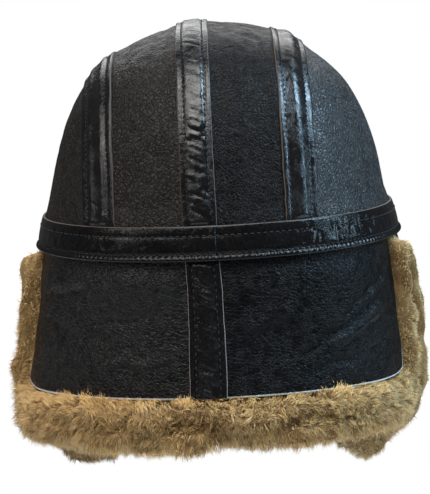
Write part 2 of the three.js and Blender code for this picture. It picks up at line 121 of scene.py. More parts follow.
def lattice(cells, seed):
    n = (cells[..., 0] * 73856093) ^ (cells[..., 1] * 19349663) ^ (cells[..., 2] * 83492791)
    n = (n ^ (seed * 7919 + 17)) & 0xFFFFFFFF
    for _ in range(2):
        n = ((n ^ (n >> 16)) * 0x45D9F3B) & 0xFFFFFFFF
    return (n ^ (n >> 16)) / 2**31 - 1


def noise(points, size, seed=0):
    """Smooth noise from -1 to 1 over points, with features of about that size."""
    scaled = points / np.asarray(size, float)
    cells = np.floor(scaled).astype(np.int64)
    inside = scaled - cells
    weight = inside**3 * (inside * (inside * 6 - 15) + 10)
    total = np.zeros(points.shape[:-1])
    for i in (0, 1):
        for j in (0, 1):
            for k in (0, 1):
                corner = lattice(cells + np.array([i, j, k]), seed)
                share = np.ones_like(total)
                for axis, step in enumerate((i, j, k)):
                    share = share * (weight[..., axis] if step else 1 - weight[..., axis])
                total += corner * share
    return total


def flat3(a, b):
    """Flat coordinates as points for the noise."""
    a, b = np.broadcast_arrays(a, b)
    return np.stack([a, b, np.zeros_like(a, dtype=float)], -1)


# The oval of the head opening, measured round from the back towards the wearer's left.
def oval_size(x, y):
    return (np.abs(x / HALF_WIDTH) ** PLAN_ROUND + np.abs(y / HALF_DEPTH) ** PLAN_ROUND) ** (1 / PLAN_ROUND)


def oval_point(angle):
    size = oval_size(np.sin(angle), np.cos(angle))
    return np.sin(angle) / size, np.cos(angle) / size


OVAL_ANGLES = np.linspace(0, 2 * np.pi, 2881)
OVAL_X, OVAL_Y = oval_point(OVAL_ANGLES)
OVAL_LENGTHS = np.concatenate([[0], np.cumsum(np.hypot(np.diff(OVAL_X), np.diff(OVAL_Y)))])
OVAL_LENGTH = OVAL_LENGTHS[-1]


def angle_at(length):
    turns = np.floor(length / OVAL_LENGTH)
    return 2 * np.pi * turns + np.interp(length - turns * OVAL_LENGTH, OVAL_LENGTHS, OVAL_ANGLES)


def set_back(z):
    return APEX_SET_BACK * np.maximum(z / CROWN_HEIGHT, 0) ** 2


def crown_level(points):
    height = points[..., 2] / CROWN_HEIGHT
    size = oval_size(points[..., 0], points[..., 1] - set_back(points[..., 2])) / (1 - CROWN_LEAN * height)
    return size**2 + np.maximum(height, 0) ** CROWN_ROUND


def crown_hit(start, direction):
    """The crown's points on rays from start."""
    start, direction = np.broadcast_arrays(start, direction)
    near = np.zeros(direction.shape[:-1])
    far = 2 * (HALF_DEPTH + CROWN_HEIGHT) / np.linalg.norm(direction, axis=-1)
    for _ in range(28):
        middle = (near + far) / 2
        points = start + direction * middle[..., None]
        inside = points[..., 2] < CROWN_HEIGHT
        points[..., 2] = np.minimum(points[..., 2], CROWN_HEIGHT)
        inside &= crown_level(points) < 1
        near = np.where(inside, middle, near)
        far = np.where(inside, far, middle)
    return start + direction * near[..., None]


def crown_normal(points):
    slopes = []
    for axis in range(3):
        step = np.zeros(3)
        step[axis] = 0.05
        slopes.append(crown_level(points + step) - crown_level(points - step))
    return unit(np.stack(slopes, -1))


def arch(x, angle):
    """The crown's front-to-back arch in the plane x, by the angle from straight up towards the back."""
    x, angle = np.broadcast_arrays(x, angle)
    start = np.stack([x, np.zeros_like(x), np.full_like(x, SEAM_Z)], -1)
    direction = np.stack([np.zeros_like(x), np.sin(angle), np.cos(angle)], -1)
    return crown_hit(start, direction)


def arch_scale(x):
    """Angles from front to back, and the running length over the arch at each."""
    angles = np.linspace(-np.pi / 2, np.pi / 2, 721)
    points = arch(np.full_like(angles, float(x)), angles)
    steps = np.linalg.norm(np.diff(points, axis=0), axis=1)
    return angles, np.concatenate([[0], np.cumsum(steps)]), points[:, 2]


def wall_point(length, z, lean):
    """The leather's outer face at a length round the head and a height, leaning outwards by that much."""
    x, y = oval_point(angle_at(length))
    height = np.maximum(z / CROWN_HEIGHT, 0)
    scale = (1 - CROWN_LEAN * height) * np.sqrt(1 - height**CROWN_ROUND)
    out = unit(np.stack([x / HALF_WIDTH**2, y / HALF_DEPTH**2], -1))
    x = x * scale + out[..., 0] * lean
    y = y * scale + out[..., 1] * lean + set_back(z)
    return np.stack([x, y, z + 0 * x], -1)


def off_wall(surface, length, z, offset):
    """A sheet's points pushed out along its normal."""
    along = surface(length + SLOPE, z) - surface(length - SLOPE, z)
    down = surface(length, z - SLOPE) - surface(length, z + SLOPE)
    normal = unit(np.cross(along, down))
    points = surface(length, z)
    side = np.sign(points[..., 0] * normal[..., 0] + points[..., 1] * normal[..., 1])
    return points + normal * (side * offset)[..., None]


# Flaps, as in the solids: edges as lengths round the head, and the rear edge first.
NAPE_HALF = 118.0
EAR_FROM = 14.0
EAR_TO = 110.0
BROW_FROM = 127.0
NAPE_FROM = SEAM_SHIFT - NAPE_HALF
NAPE_TO = SEAM_SHIFT + NAPE_HALF
PLAIN_FLAP = dict(swing=0.0, rear=0.0, front=0.0, sag=0.0, share=0.0, power=2, folds=(), full_at=())
EAR_SHAPE = dict(
    PLAIN_FLAP, drop=107.0, rear=0.2, front=0.32, share=0.13, power=2.2, folds=EAR_FOLDS, side=7.0,
    side_low=10.0, below=17.0, bulge=8.5, fuzz=2.0, top_full=2.5)
FLAPS = {
    "nape": dict(
        PLAIN_FLAP, start=NAPE_FROM, end=NAPE_TO, drop=63.0, swing=2.5, sag=0.09, share=0.06, power=14,
        folds=NAPE_FOLDS, side=4.0, side_low=13.0, below=24.5, bulge=7.0, fuzz=3.0, top_full=3.0,
        full_at=(62.0, 316.0)),
    "ear_left": dict(EAR_SHAPE, start=NAPE_TO + EAR_FROM, end=NAPE_TO + EAR_TO),
    "ear_right": dict(EAR_SHAPE, start=NAPE_FROM - EAR_FROM, end=NAPE_FROM - EAR_TO),
    "brow": dict(
        PLAIN_FLAP, start=NAPE_TO + BROW_FROM, end=OVAL_LENGTH + NAPE_FROM - BROW_FROM, drop=4.0,
        side=4.0, side_low=5.0, below=9.0, bulge=4.0, fuzz=2.0, top_full=0.0),
}
for flap_name, flap_row in FLAPS.items():
    flap_row["lean"] = LEAN[flap_name]


def full_drop(flap):
    return flap["drop"] + SEAM_Z - GAP


def flat_point(flap, across, down):
    """A flap laid flat: across goes from -1 at its rear edge to 1, and down from 0 at its seam to 1."""
    corner = (flap["sag"] * across**2 - flap["share"] * np.abs(across) ** flap["power"]) * down
    width = flap["end"] - flap["start"]
    rear = flap["start"] + width * flap["rear"] * down**1.3
    front = flap["end"] - width * flap["front"] * down**1.3
    return rear + (front - rear) * (across + 1) / 2, SEAM_Z - GAP - down * full_drop(flap) * (1 + corner)


def hang(flap, length, z, offset):
    """The point where a spot of a flat flap hangs, at an offset out from the leather's outer face."""

    def surface(at, height):
        level = np.maximum(-height, 0) / flap["drop"]
        points = wall_point(at, height, smooth_table(*flap["lean"], level))
        points[..., 0] += flap["swing"] * level**2
        return points

    return off_wall(surface, length, z, offset)


def flap_point(flap, across, down, offset):
    fold = np.zeros(np.broadcast(across, down).shape)
    for at_across, at_down, wide, high, deep in flap["folds"]:
        fold += deep * np.exp(-(((across - at_across) / wide) ** 2) - ((down - at_down) / high) ** 2)
    fold *= np.minimum(1, 4 * down * (1 - down))
    length, z = flat_point(flap, across, down)
    return hang(flap, length, z, offset + fold)


# Meshes.
def make_object(name, points, faces, material, edge=None, colours=None):
    """A mesh object from points in millimetres and arrays of faces, one array for each number of corners."""
    volume = 0.0
    for array in faces:
        for i in range(1, array.shape[1] - 1):
            a, b, c = (points[array[:, corner]] for corner in (0, i, i + 1))
            volume += float(np.einsum("ij,ij->", np.cross(a, b), c))
    if volume < 0:
        faces = [array[:, ::-1] for array in faces]
    corners = np.concatenate([array.ravel() for array in faces]).astype(np.int32)
    sizes = np.concatenate([np.full(len(array), array.shape[1]) for array in faces])
    starts = np.concatenate([[0], np.cumsum(sizes)[:-1]]).astype(np.int32)
    mesh = bpy.data.meshes.new(name)
    mesh.vertices.add(len(points))
    mesh.vertices.foreach_set("co", (points * MM).astype(np.float32).ravel())
    mesh.loops.add(len(corners))
    mesh.loops.foreach_set("vertex_index", corners)
    mesh.polygons.add(len(sizes))
    mesh.polygons.foreach_set("loop_start", starts)
    mesh.polygons.foreach_set("use_smooth", np.ones(len(sizes), dtype=bool))
    mesh.update(calc_edges=True)
    layers = (("edge", "FLOAT", "value", edge), ("wool", "FLOAT_COLOR", "color", colours))
    for key, kind, field, values in layers:
        if values is not None:
            table = mesh.attributes.new(key, kind, "POINT").data
            table.foreach_set(field, values.astype(np.float32).ravel())
    mesh.materials.append(material)
    made = bpy.data.objects.new(name, mesh)
    bpy.context.scene.collection.objects.link(made)
    return made


def place(piece, nodes=()):
    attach(piece, "root")
    if nodes:
        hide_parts(*nodes)


def joined(*grids):
    return np.concatenate([grid.reshape(-1, 3) for grid in grids])


def grid_faces(index):
    return np.stack([index[:-1, :-1], index[:-1, 1:], index[1:, 1:], index[1:, :-1]], -1).reshape(-1, 4)


def strip_faces(line, shift):
    """Faces between a line of points and its copy, which is numbered that much higher."""
    return np.stack([line[:-1], line[1:], line[1:] + shift, line[:-1] + shift], -1)


def turned(quads):
    """The same faces, walked round the other way."""
    return quads[:, [0, 3, 2, 1]]


def coarse_faces(first, rows, columns, wrap):
    """Large faces over a grid, which keep every point of its border."""
    last = columns if wrap else columns - 1
    row_stops = sorted({*range(0, rows - 1, COARSE_STEP), rows - 1})
    column_stops = sorted({*range(0, last, COARSE_STEP), last})
    by_size = {}
    for r0, r1 in zip(row_stops, row_stops[1:]):
        for c0, c1 in zip(column_stops, column_stops[1:]):
            ring = [(r0, c) for c in (range(c0, c1) if r0 == 0 else [c0])]
            ring += [(r, c1) for r in (range(r0, r1) if c1 == last and not wrap else [r0])]
            ring += [(r1, c) for c in (range(c1, c0, -1) if r1 == rows - 1 else [c1])]
            ring += [(r, c0) for r in (range(r1, r0, -1) if c0 == 0 and not wrap else [r1])]
            by_size.setdefault(len(ring), []).append([first + r * columns + c % columns for r, c in ring])
    return [np.array(rings) for rings in by_size.values()]


def leather_body(name, outer, inner, material, edge, wrap=False):
    """A closed sheet of leather: a fine outer face, a coarse inner one and the cut edges between them."""
    rows, columns = outer.shape[:2]
    count = rows * columns
    index = np.arange(count).reshape(rows, columns)
    closed = np.hstack([index, index[:, :1]]) if wrap else index
    borders = [closed[0, ::-1], closed[-1]]
    if not wrap:
        borders += [closed[:, 0], closed[::-1, -1]]
    quads = np.concatenate([grid_faces(closed)] + [strip_faces(border, count) for border in borders])
    faces = [quads] + [array[:, ::-1] for array in coarse_faces(count, rows, columns, wrap)]
    used = np.unique(np.concatenate([array.ravel() for array in faces]))
    renumber = np.full(2 * count, -1)
    renumber[used] = np.arange(len(used))
    faces = [renumber[array] for array in faces]
    return make_object(name, joined(outer, inner)[used], faces, material, np.tile(edge.ravel(), 2)[used])


def stops(width, pitch, trims=(0.25, 0.6, 1.0)):
    """Positions from 0 to width, closer together at the ends."""
    inner = np.linspace(trims[-1], width - trims[-1], max(2, int(round(width / pitch))))
    return np.concatenate([[0], trims[:-1], inner, [width - trim for trim in trims[-2::-1]], [width]])


def rolled(distance, radius=0.9):
    """How far a cut edge rolls in, by the distance from it."""
    share = np.clip(1 - distance / radius, 0, 1)
    return radius * (1 - np.sqrt(np.maximum(1 - share**2, 0)))


# Materials. Each of the shader's sockets is named here by a plain word.
SOCKETS = {
    "colour": "Base Color", "roughness": "Roughness", "specular": "Specular IOR Level", "normal": "Normal",
    "sheen": "Sheen Weight", "sheen_roughness": "Sheen Roughness", "glow": "Emission Strength",
    "glow_colour": "Emission Color",
}


def feed(tree, sockets, sources):
    """Gives each socket its number, its colour or a link from its source."""
    for socket, source in zip(sockets, sources):
        if isinstance(source, bpy.types.NodeSocket):
            tree.links.new(source, socket)
        elif socket.type == "RGBA":
            socket.default_value = (*source, 1)
        else:
            socket.default_value = source


def new_material(name):
    material = bpy.data.materials.new(name)
    material.use_nodes = True
    tree = material.node_tree
    return material, tree, tree.nodes.new("ShaderNodeTexCoord").outputs["Object"]


def set_shader(material, **sources):
    tree = material.node_tree
    shader = tree.nodes["Principled BSDF"]
    feed(tree, [shader.inputs[SOCKETS[key]] for key in sources], sources.values())
    return material


def add_node(tree, kind, **settings):
    """A node whose settings are either its sockets or its own options."""
    node = tree.nodes.new(kind)
    for key, value in settings.items():
        if key in node.inputs:
            feed(tree, [node.inputs[key]], [value])
        else:
            setattr(node, key, value)
    return node


def noise_node(tree, position, scale, detail=2.0, roughness=0.5, output="Fac"):
    node = add_node(
        tree, "ShaderNodeTexNoise", Vector=position, Scale=scale, Detail=detail, Roughness=roughness)
    return node.outputs[output]


def bump_node(tree, height, strength, distance):
    bump = add_node(tree, "ShaderNodeBump", Height=height, Strength=strength, Distance=distance)
    return bump.outputs["Normal"]


def grey(value):
    return (value, value, value)


def ramp(tree, source, *rows):
    """A colour that follows the source. Each row is a position and a colour, or a number for a grey."""
    node = add_node(tree, "ShaderNodeValToRGB", Fac=source)
    elements = node.color_ramp.elements
    elements.remove(elements[-1])
    elements[0].position = rows[0][0]
    for number, (position, colour) in enumerate(rows):
        element = elements.new(position) if number else elements[0]
        element.color = (*(colour if isinstance(colour, tuple) else grey(colour)), 1)
    return node.outputs["Color"]


def mix(tree, factor, first, second, blend="MIX"):
    node = add_node(tree, "ShaderNodeMix", data_type="RGBA", blend_type=blend)
    feed(tree, (node.inputs["Factor"], node.inputs[6], node.inputs[7]), (factor, first, second))
    return node.outputs[2]


def calculate(tree, operation, *sources, kind="ShaderNodeMath"):
    node = add_node(tree, kind, operation=operation)
    feed(tree, node.inputs, sources)
    return node.outputs[0]


def leather_material(name, tones, roughness, grain, cell, specular, raw=grey(0.02), raw_width=0.5,
                     relief=0.0005, squash=1.0):
    """Leather with pebbled grain, light flecks that paint glints off the grain, and a light cut edge. Its
    tones are dark, light and painted glint.
    """
    material, tree, position = new_material(name)
    warp = noise_node(tree, position, 210.0, 3.0, output="Color")
    broad = noise_node(tree, position, 28.0, 3.0, 0.6)
    fine = noise_node(tree, position, 1500.0, 3.0, 0.65)
    middle = noise_node(tree, position, 170.0, 4.0, 0.6)
    spread = calculate(tree, "MULTIPLY_ADD", warp, grey(0.0042), position, kind="ShaderNodeVectorMath")
    squashed = calculate(tree, "MULTIPLY", spread, (1.0, 1.0, squash), kind="ShaderNodeVectorMath")
    cells = dict(Vector=squashed, Scale=1 / (cell * MM))
    border = add_node(tree, "ShaderNodeTexVoronoi", feature="DISTANCE_TO_EDGE", **cells).outputs["Distance"]
    tint = add_node(tree, "ShaderNodeTexVoronoi", **cells).outputs["Color"]
    edge = add_node(tree, "ShaderNodeAttribute", attribute_name="edge").outputs["Fac"]

    dark, light, painted_glint = tones
    tone = mix(tree, ramp(tree, broad, (0.3, 0), (0.72, 1)), dark, light)
    # spots says where the light flecks, painted glints off the grain, fall.
    spots = ramp(tree, fine, (0.55, 0), (0.7, 1))
    patch = ramp(tree, middle, (0.4, 0), (0.62, 1))
    pebble = ramp(tree, border, (0.0, 0.3), (0.12, 0.9), (0.5, 1.35))
    tone = mix(tree, patch, tone, mix(tree, 1.0, tone, pebble, "MULTIPLY"))
    tone = mix(tree, 1.0, tone, ramp(tree, tint, (0.35, 0.8), (0.75, 1.3)), "MULTIPLY")
    tone = mix(tree, calculate(tree, "MULTIPLY", spots, patch), tone, painted_glint)
    wander = calculate(tree, "MULTIPLY_ADD", fine, 0.3, calculate(tree, "MULTIPLY", edge, 0.5 / raw_width))
    cut = ramp(tree, wander, (0.56, 1), (0.72, 0))
    rough = mix(tree, patch, grey(max(roughness - 0.1, 0.05)), grey(min(roughness + 0.08, 1)))

    height = ramp(tree, border, (0.0, 0), (0.16, 0.75), (0.5, 1))
    height = mix(tree, calculate(tree, "MULTIPLY_ADD", patch, -0.5, 0.65), height, middle)
    height = mix(tree, 0.12, height, fine)
    return set_shader(material, colour=mix(tree, cut, tone, raw), roughness=mix(tree, cut, rough, grey(0.85)),
                      specular=specular, normal=bump_node(tree, height, grain, relief))


# The darkest lock tones are reached mostly where painted shade pulls the tones down.
LOCK_TONES = ((0.0, (0.4, 0.32, 0.21)), (0.16, (0.7, 0.65, 0.57)), (0.5, 0.96), (1.0, (1.22, 1.2, 1.16)))
STRAND_TONES = ((0.0, (0.88, 0.86, 0.83)), (1.0, (1.12, 1.11, 1.09)))
PATCH_TONES = ((0.3, (0.86, 0.83, 0.78)), (0.7, (1.08, 1.07, 1.05)))


def wool_material(name, root, body, tip, shine=0.25):
    """Wool that is darker at the skin, partly as painted shade deep in the pile, and paler at the tips, with
    each lock and strand its own tone.
    """
    material, tree, position = new_material(name)
    source = add_node(tree, "ShaderNodeAttribute", attribute_name="wool").outputs["Color"]
    along, lock, strand = add_node(tree, "ShaderNodeSeparateColor", Color=source).outputs
    patch = noise_node(tree, position, 42.0, 3.0)
    tone = ramp(tree, along, (0.0, root), (0.45, body), (1.0, tip))
    for factor, rows in ((lock, LOCK_TONES), (strand, STRAND_TONES), (patch, PATCH_TONES)):
        tone = mix(tree, 1.0, tone, ramp(tree, factor, *rows), "MULTIPLY")
    fibre = bump_node(tree, noise_node(tree, position, 2200.0), 0.5, 0.0004)
    return set_shader(material, colour=tone, roughness=0.85, specular=0.15, sheen=shine, sheen_roughness=0.5,
                      normal=fibre)


PANEL = leather_material(
    "panel_leather", ((0.0072, 0.0064, 0.0061), (0.0152, 0.0136, 0.0125), (0.085, 0.074, 0.066)),
    0.44, 1.0, cell=2.1, specular=0.105, relief=0.0007)
# A darker copy of the panel leather for the top right panel: its darker tones are painted shade.
PANEL_PAINTED_SHADE = leather_material(
    "panel_leather_painted_shade", ((0.0032, 0.003, 0.0029), (0.0068, 0.0063, 0.006), (0.06, 0.054, 0.048)),
    0.42, 1.0, cell=1.8, specular=0.06)
# A bluish copy of the panel leather for the right side panel: its blue tint is a painted sheen of the cool
# light from the right, beside its real gloss.
PANEL_PAINTED_BLUE_SHEEN = leather_material(
    "panel_leather_painted_blue_sheen", ((0.0042, 0.0048, 0.0054), (0.0105, 0.012, 0.0132), (0.085, 0.1, 0.11)),
    0.4, 1.0, cell=1.6, specular=0.37, relief=0.0008)
NAPE_EDGE = dict(raw=(0.62, 0.66, 0.72), raw_width=0.9, squash=1.5)
NAPE = leather_material(
    "nape_leather", ((0.0036, 0.0034, 0.0034), (0.0078, 0.0073, 0.0072), (0.05, 0.047, 0.045)),
    0.4, 1.0, cell=2.3, specular=0.15, relief=0.00055, **NAPE_EDGE)
# A darker, faintly blue copy of the nape leather for the right halves of the flaps: painted shade, tinted
# with painted cool light from the right.
NAPE_PAINTED_SHADE = leather_material(
    "nape_leather_right", ((0.002, 0.002, 0.0021), (0.004, 0.004, 0.0041), (0.035, 0.036, 0.038)),
    0.4, 1.0, cell=2.3, specular=0.075, relief=0.00045, **NAPE_EDGE)
SMOOTH = dict(cell=0.9, raw_width=0.3, relief=0.0003)
TAPE_TONES = ((0.004, 0.004, 0.0043), (0.007, 0.0068, 0.007), (0.012, 0.012, 0.013))
BAND_TONES = ((0.0032, 0.003, 0.0031), (0.006, 0.0056, 0.0056), (0.012, 0.011, 0.011))
TAPE = leather_material("tape_leather", TAPE_TONES, 0.23, 0.3, specular=0.32, raw=(0.058, 0.046, 0.039),
                        **SMOOTH)
BAND = leather_material("band_leather", BAND_TONES, 0.15, 0.25, specular=0.15, raw=(0.09, 0.075, 0.066),
                        **SMOOTH)
NAPE_TAPE = leather_material("nape_tape_leather", TAPE_TONES, 0.2, 0.3, specular=0.26, raw=(0.2, 0.17, 0.15),
                             **SMOOTH)
THREAD, THREAD_BROWN = [
    leather_material(name, tones, 0.6, 0.5, cell=0.4, specular=0.3) for name, tones in (
        ("thread", ((0.003, 0.003, 0.003), (0.007, 0.0065, 0.006), (0.015, 0.013, 0.012))),
        ("thread_brown", ((0.014, 0.008, 0.006), (0.03, 0.017, 0.012), (0.05, 0.03, 0.022))),
    )
]
WOOL = wool_material("wool_strands", (0.26, 0.158, 0.058), (0.545, 0.36, 0.145), (0.77, 0.55, 0.255))
# A paler, greener copy of the wool for the right ear flap: painted light, the tint of the cool light from the
# right.
WOOL_PAINTED_COOL_LIGHT = wool_material("wool_strands_painted_cool_light", (0.28, 0.19, 0.09), (0.57, 0.43, 0.215), (0.8, 0.65, 0.38))
# The wool's body is darker than the strands' middle tone: painted shade, standing for the shade the strands
# cast on it.
FELT_PAINTED_SHADE = wool_material("wool_base_painted_shade", (0.2, 0.135, 0.06), (0.3, 0.205, 0.095), (0.34, 0.235, 0.11), 0.1)


# Crown panels.
def panel_relief(points, seed):
    """Soft dents, drag folds and fine creases of a worn panel."""
    soft = 0.5 * noise(points, 34, seed) + 0.22 * noise(points, 13, seed + 1) - 0.55
    warped = points + 3.0 * noise(points, 15, seed + 4)[..., None]
    worn = smoothstep(-0.1, 0.5, noise(points, 24, seed + 3))
    crease = bell(noise(warped, (7, 9, 13), seed + 2), 0, 0.16) * worn
    fine = bell(noise(warped, (3.6, 4.6, 5.6), seed + 6), 0, 0.2)
    return np.maximum(soft - 0.4 * crease - 0.22 * fine, 0.8 - LEATHER)


def panel_body(name, points, beside, seed, material, outward=0.0):
    """A panel's leather over its grid of points. beside is how far each point lies from the nearest seam."""
    normals = crown_normal(points)
    free = smoothstep(TAPE_WIDTH / 2 + 0.2, TAPE_WIDTH / 2 + 6, beside)
    low = smoothstep(BAND_HEIGHT + 0.5, BAND_HEIGHT + 8, points[..., 2])
    outer = points + normals * (free * low * (panel_relief(points, seed) + outward))[..., None]
    edge = np.full(points.shape[:2], FAR_FROM_EDGE)
    piece = leather_body("leather_" + name, outer, points - normals * LEATHER, material, edge)
    place(piece, ["crown_" + name])


def top_panel(name, x_from, x_to, seed, material):
    angles, lengths, _ = arch_scale((x_from + x_to) / 2)
    along = np.linspace(0, lengths[-1], int(lengths[-1] / 1.6))
    columns = stops(x_to - x_from, 1.5) + x_from
    points = arch(columns[None, :], np.interp(along, lengths, angles)[:, None])
    panel_body(name, points, np.minimum(columns - x_from, x_to - columns)[None, :], seed, material)


def side_panel(name, x_seam, seed, material):
    angles, lengths, _ = arch_scale(x_seam)
    count = int(lengths[-1] / 1.7)
    share = np.linspace(0.018, 0.982, count)
    top = arch(np.full(count, x_seam), np.interp(share * lengths[-1], lengths, angles))
    front, back = arch(np.full(2, x_seam), np.array([-np.pi / 2, np.pi / 2]))
    first = math.atan2(front[0], front[1])
    turn = first + (math.atan2(back[0], back[1]) - first) * share
    bottom = crown_hit(CENTRE, np.stack([np.sin(turn), np.cos(turn), 0 * turn], -1))
    across = np.linspace(0, 1, 52)[None, :, None]
    points = crown_hit(CENTRE, top[:, None] * (1 - across) + bottom[:, None] * across - CENTRE)
    level = points[..., 2]
    outward = 1.5 * smoothstep(20, 45, level) * smoothstep(100, 72, level) * (x_seam < 0)
    panel_body(name, points, np.abs(points[..., 0] - x_seam), seed, material, outward)


SEAMS = {"right": SEAM_SHIFT - SIDE_SEAM, "middle": SEAM_SHIFT, "left": SEAM_SHIFT + SIDE_SEAM}
side_panel("side_right", SEAMS["right"] - GAP / 2, 31, PANEL_PAINTED_BLUE_SHEEN)
top_panel("top_right", SEAMS["right"] + GAP / 2, SEAMS["middle"] - GAP / 2, 41, PANEL_PAINTED_SHADE)
top_panel("top_left", SEAMS["middle"] + GAP / 2, SEAMS["left"] - GAP / 2, 51, PANEL)
side_panel("side_left", SEAMS["left"] + GAP / 2, 61, PANEL)


# Tapes, with flat margins, a groove under each row of stitches and a padded middle over the seam.
STITCH_ROW = 5.1
STITCH_STEP = 2.8
STITCH_LIFT = np.array([-0.35, 0.12, 0.3, 0.12, -0.35])
TAPE_UNDER = 0.15
# The form of each tape's middle, how much it is wrinkled, and the step between its rows of points.
CROWN_TAPES = {"right": ("round", 0.3, 0.9), "middle": ("flat", 1.0, 0.75), "left": ("double", 0.35, 0.9)}


def tape_height(along, across, seed, pad, wear, form="flat"):
    """The height of a tape's face. wear says how wrinkled it is, about 1 where it is worn."""
    out = np.abs(across)
    if form == "round":
        middle = pad * 1.25 * smoothstep(4.4, 0.0, across) * smoothstep(-5.0, -0.6, across)
    else:
        middle = pad * (0.6 * smoothstep(4.8, 3.7, out) + 0.14 * np.maximum(1 - (across / 4) ** 2, 0))
    if form == "double":
        middle = middle + 0.25 * bell(out, 2.9, 1.0) - 0.3 * bell(across, 0, 1.7)
    groove = 0.42 * bell(out, STITCH_ROW, 0.5)
    lift = 0.14 * bell(out, 7.2, 0.5)
    spot = flat3(along, across)
    slanted = flat3(along + 0.5 * across + 1.4 * noise(spot, 11, seed + 5), across)
    wrinkle = bell(noise(slanted, (3.6, 10, 1), seed), 0, 0.16)
    fine = bell(noise(slanted, (1.9, 5, 1), seed + 1), 0, 0.2)
    inner = smoothstep(5.6, 3.9, out)
    pucker = np.cos(2 * np.pi * along / STITCH_STEP) * bell(out, 6.3, 1.0)
    pucker = pucker * (0.6 + 0.4 * noise(spot, 7, seed + 3))
    dents = 0.13 * noise(spot, (16, 9, 1), seed + 4) * inner
    ripple = 0.17 * noise(slanted, (1.6, 6, 1), seed + 7) * inner * (0.05 + 1.45 * wear)
    worn = inner * (0.4 * wrinkle + 0.26 * fine) * wear - ripple
    return 0.8 + middle - groove + lift - worn + 0.09 * pucker + dents


def tucked(from_end, full, flat=0.12):
    """A tape's height where its end goes in under the band."""
    return flat + (full - flat) * smoothstep(0.0, 2.4, from_end)


def edge_wander(along, across, seed):
    """How far a tape's spots lie aside, from nothing at its middle line to the most at its edges."""
    wander = 0.35 * noise(flat3(along, 9 * np.sign(across)), 18, seed)
    wander = wander + 0.12 * noise(flat3(along, 0 * along), 4, seed)
    return wander * np.abs(across) / (TAPE_WIDTH / 2)


def stitch_run(middles, reach=1.1):
    """Points along each stitch, from the places of their middles."""
    return middles[:, None] + np.array([-reach, -0.6, 0, 0.6, reach])[None, :]


def lay_tape(name, node, material, along, runs, surface, rise, cut_end=np.inf):
    """A tape on a surface. Returns the paths of its two rows of stitches."""
    across = stops(TAPE_WIDTH, 0.68, (0.2, 0.5, 0.9)) - TAPE_WIDTH / 2
    s, c = np.meshgrid(along, across, indexing="ij")
    edge = np.minimum(TAPE_WIDTH / 2 - np.abs(c), cut_end - s)
    outer = surface(s, c, rise(s, c, -rolled(edge, 0.6)))
    piece = leather_body(name, outer, surface(s, c, TAPE_UNDER + 0 * s), material, edge)
    place(piece, [node])
    rows = []
    for side in (-1, 1):
        row = np.full_like(runs, side * STITCH_ROW)
        rows.append(surface(runs, row, rise(runs, row, STITCH_LIFT)))
    return np.concatenate(rows)


def crown_tape(name, x_seam, seed):
    form, wrinkled, pitch = CROWN_TAPES[name]
    angles, lengths, heights = arch_scale(x_seam)
    clear = np.where(heights > BAND_HEIGHT - 2.5)[0]
    first, last = lengths[clear[0]], lengths[clear[-1]]

    def surface(s, c, rise):
        base = arch(x_seam + c + edge_wander(s, c, seed), np.interp(s, lengths, angles))
        return base + crown_normal(base) * rise[..., None]

    def rise(s, c, lift):
        from_back = last - s
        wear = wrinkled * (0.5 + 0.5 * smoothstep(-0.1, 0.5, noise(flat3(s, 0 * s), 26, seed + 2)))
        if name == "middle":
            worn_back = 0.4 + 0.85 * bell(from_back, 44, 16) + 0.5 * bell(from_back, 12, 12)
            wear = np.where(s > last / 2, worn_back, wear)
        height = tape_height(s, c, seed, 1.0, wear, form) + lift
        return TAPE_UNDER + tucked(np.minimum(from_back, s - first) - 2.2, height)

    along = np.linspace(first, last, int((last - first) / pitch))
    runs = stitch_run(np.arange(first + 6, last - 5.0, STITCH_STEP), 1.05)
    return lay_tape("tape_" + name, "crown_tape_" + name, TAPE, along, runs, surface, rise)


# Closed strands, used for stitches and wool alike.
def strands(name, paths, radii, sides, material, colours=None):
    """Thin closed bodies along paths of points. The last point of each path is its tip."""
    count, knots = paths.shape[:2]
    rings = knots - 1
    direction = unit(np.gradient(paths, axis=1)[:, :rings])
    other = unit(random.normal(size=(count, 1, 3)))
    side_a = unit(np.cross(direction, other + 0 * direction))
    side_b = np.cross(direction, side_a)
    turn = (2 * np.pi * np.arange(sides) / sides)[:, None]
    circle = np.cos(turn) * side_a[:, :, None] + np.sin(turn) * side_b[:, :, None]
    ring_points = paths[:, :rings, None] + circle * radii[:, :rings, None, None]
    points = np.concatenate([ring_points.reshape(count, -1, 3), paths[:, rings:]], 1)
    per = points.shape[1]
    ring = np.arange(sides)
    after = (ring + 1) % sides
    last = per - 1 - sides
    level = np.stack([ring, after, after + sides, ring + sides], -1)
    tips = np.stack([last + ring, last + after, np.full(sides, per - 1)], -1)
    templates = [np.concatenate([level + sides * i for i in range(rings - 1)])] if rings > 1 else []
    templates += [tips, ring[None, ::-1]]
    shift = (np.arange(count) * per)[:, None, None]
    faces = [(template[None] + shift).reshape(-1, template.shape[1]) for template in templates]
    if sides == 3:
        faces[-2:] = [np.concatenate(faces[-2:])]
    if colours is not None:
        spread = np.ones((count, per, 4))
        spread[:, :-1, 0] = np.repeat(np.linspace(0, 1, knots)[:rings], sides)
        spread[:, :, 1:3] = colours[:, None]
        colours = spread
    return make_object(name, points.reshape(-1, 3), faces, material, colours=colours)


def stitches(name, paths, material):
    radii = np.tile([0.08, 0.26, 0.3, 0.26, 0.08], (len(paths), 1))
    place(strands(name, paths, radii, 5, material))


crown_stitches = [crown_tape(name, x, 70 + 10 * i) for i, (name, x) in enumerate(SEAMS.items())]
stitches("crown_stitches", np.concatenate(crown_stitches), THREAD)


# The band.
LAP = 1.5  # where one end of the band lies over the other, a length round the head
LOWER_ROW = 3.1
UPPER_ROW = 11.4
LOWER_STEP = 3.0
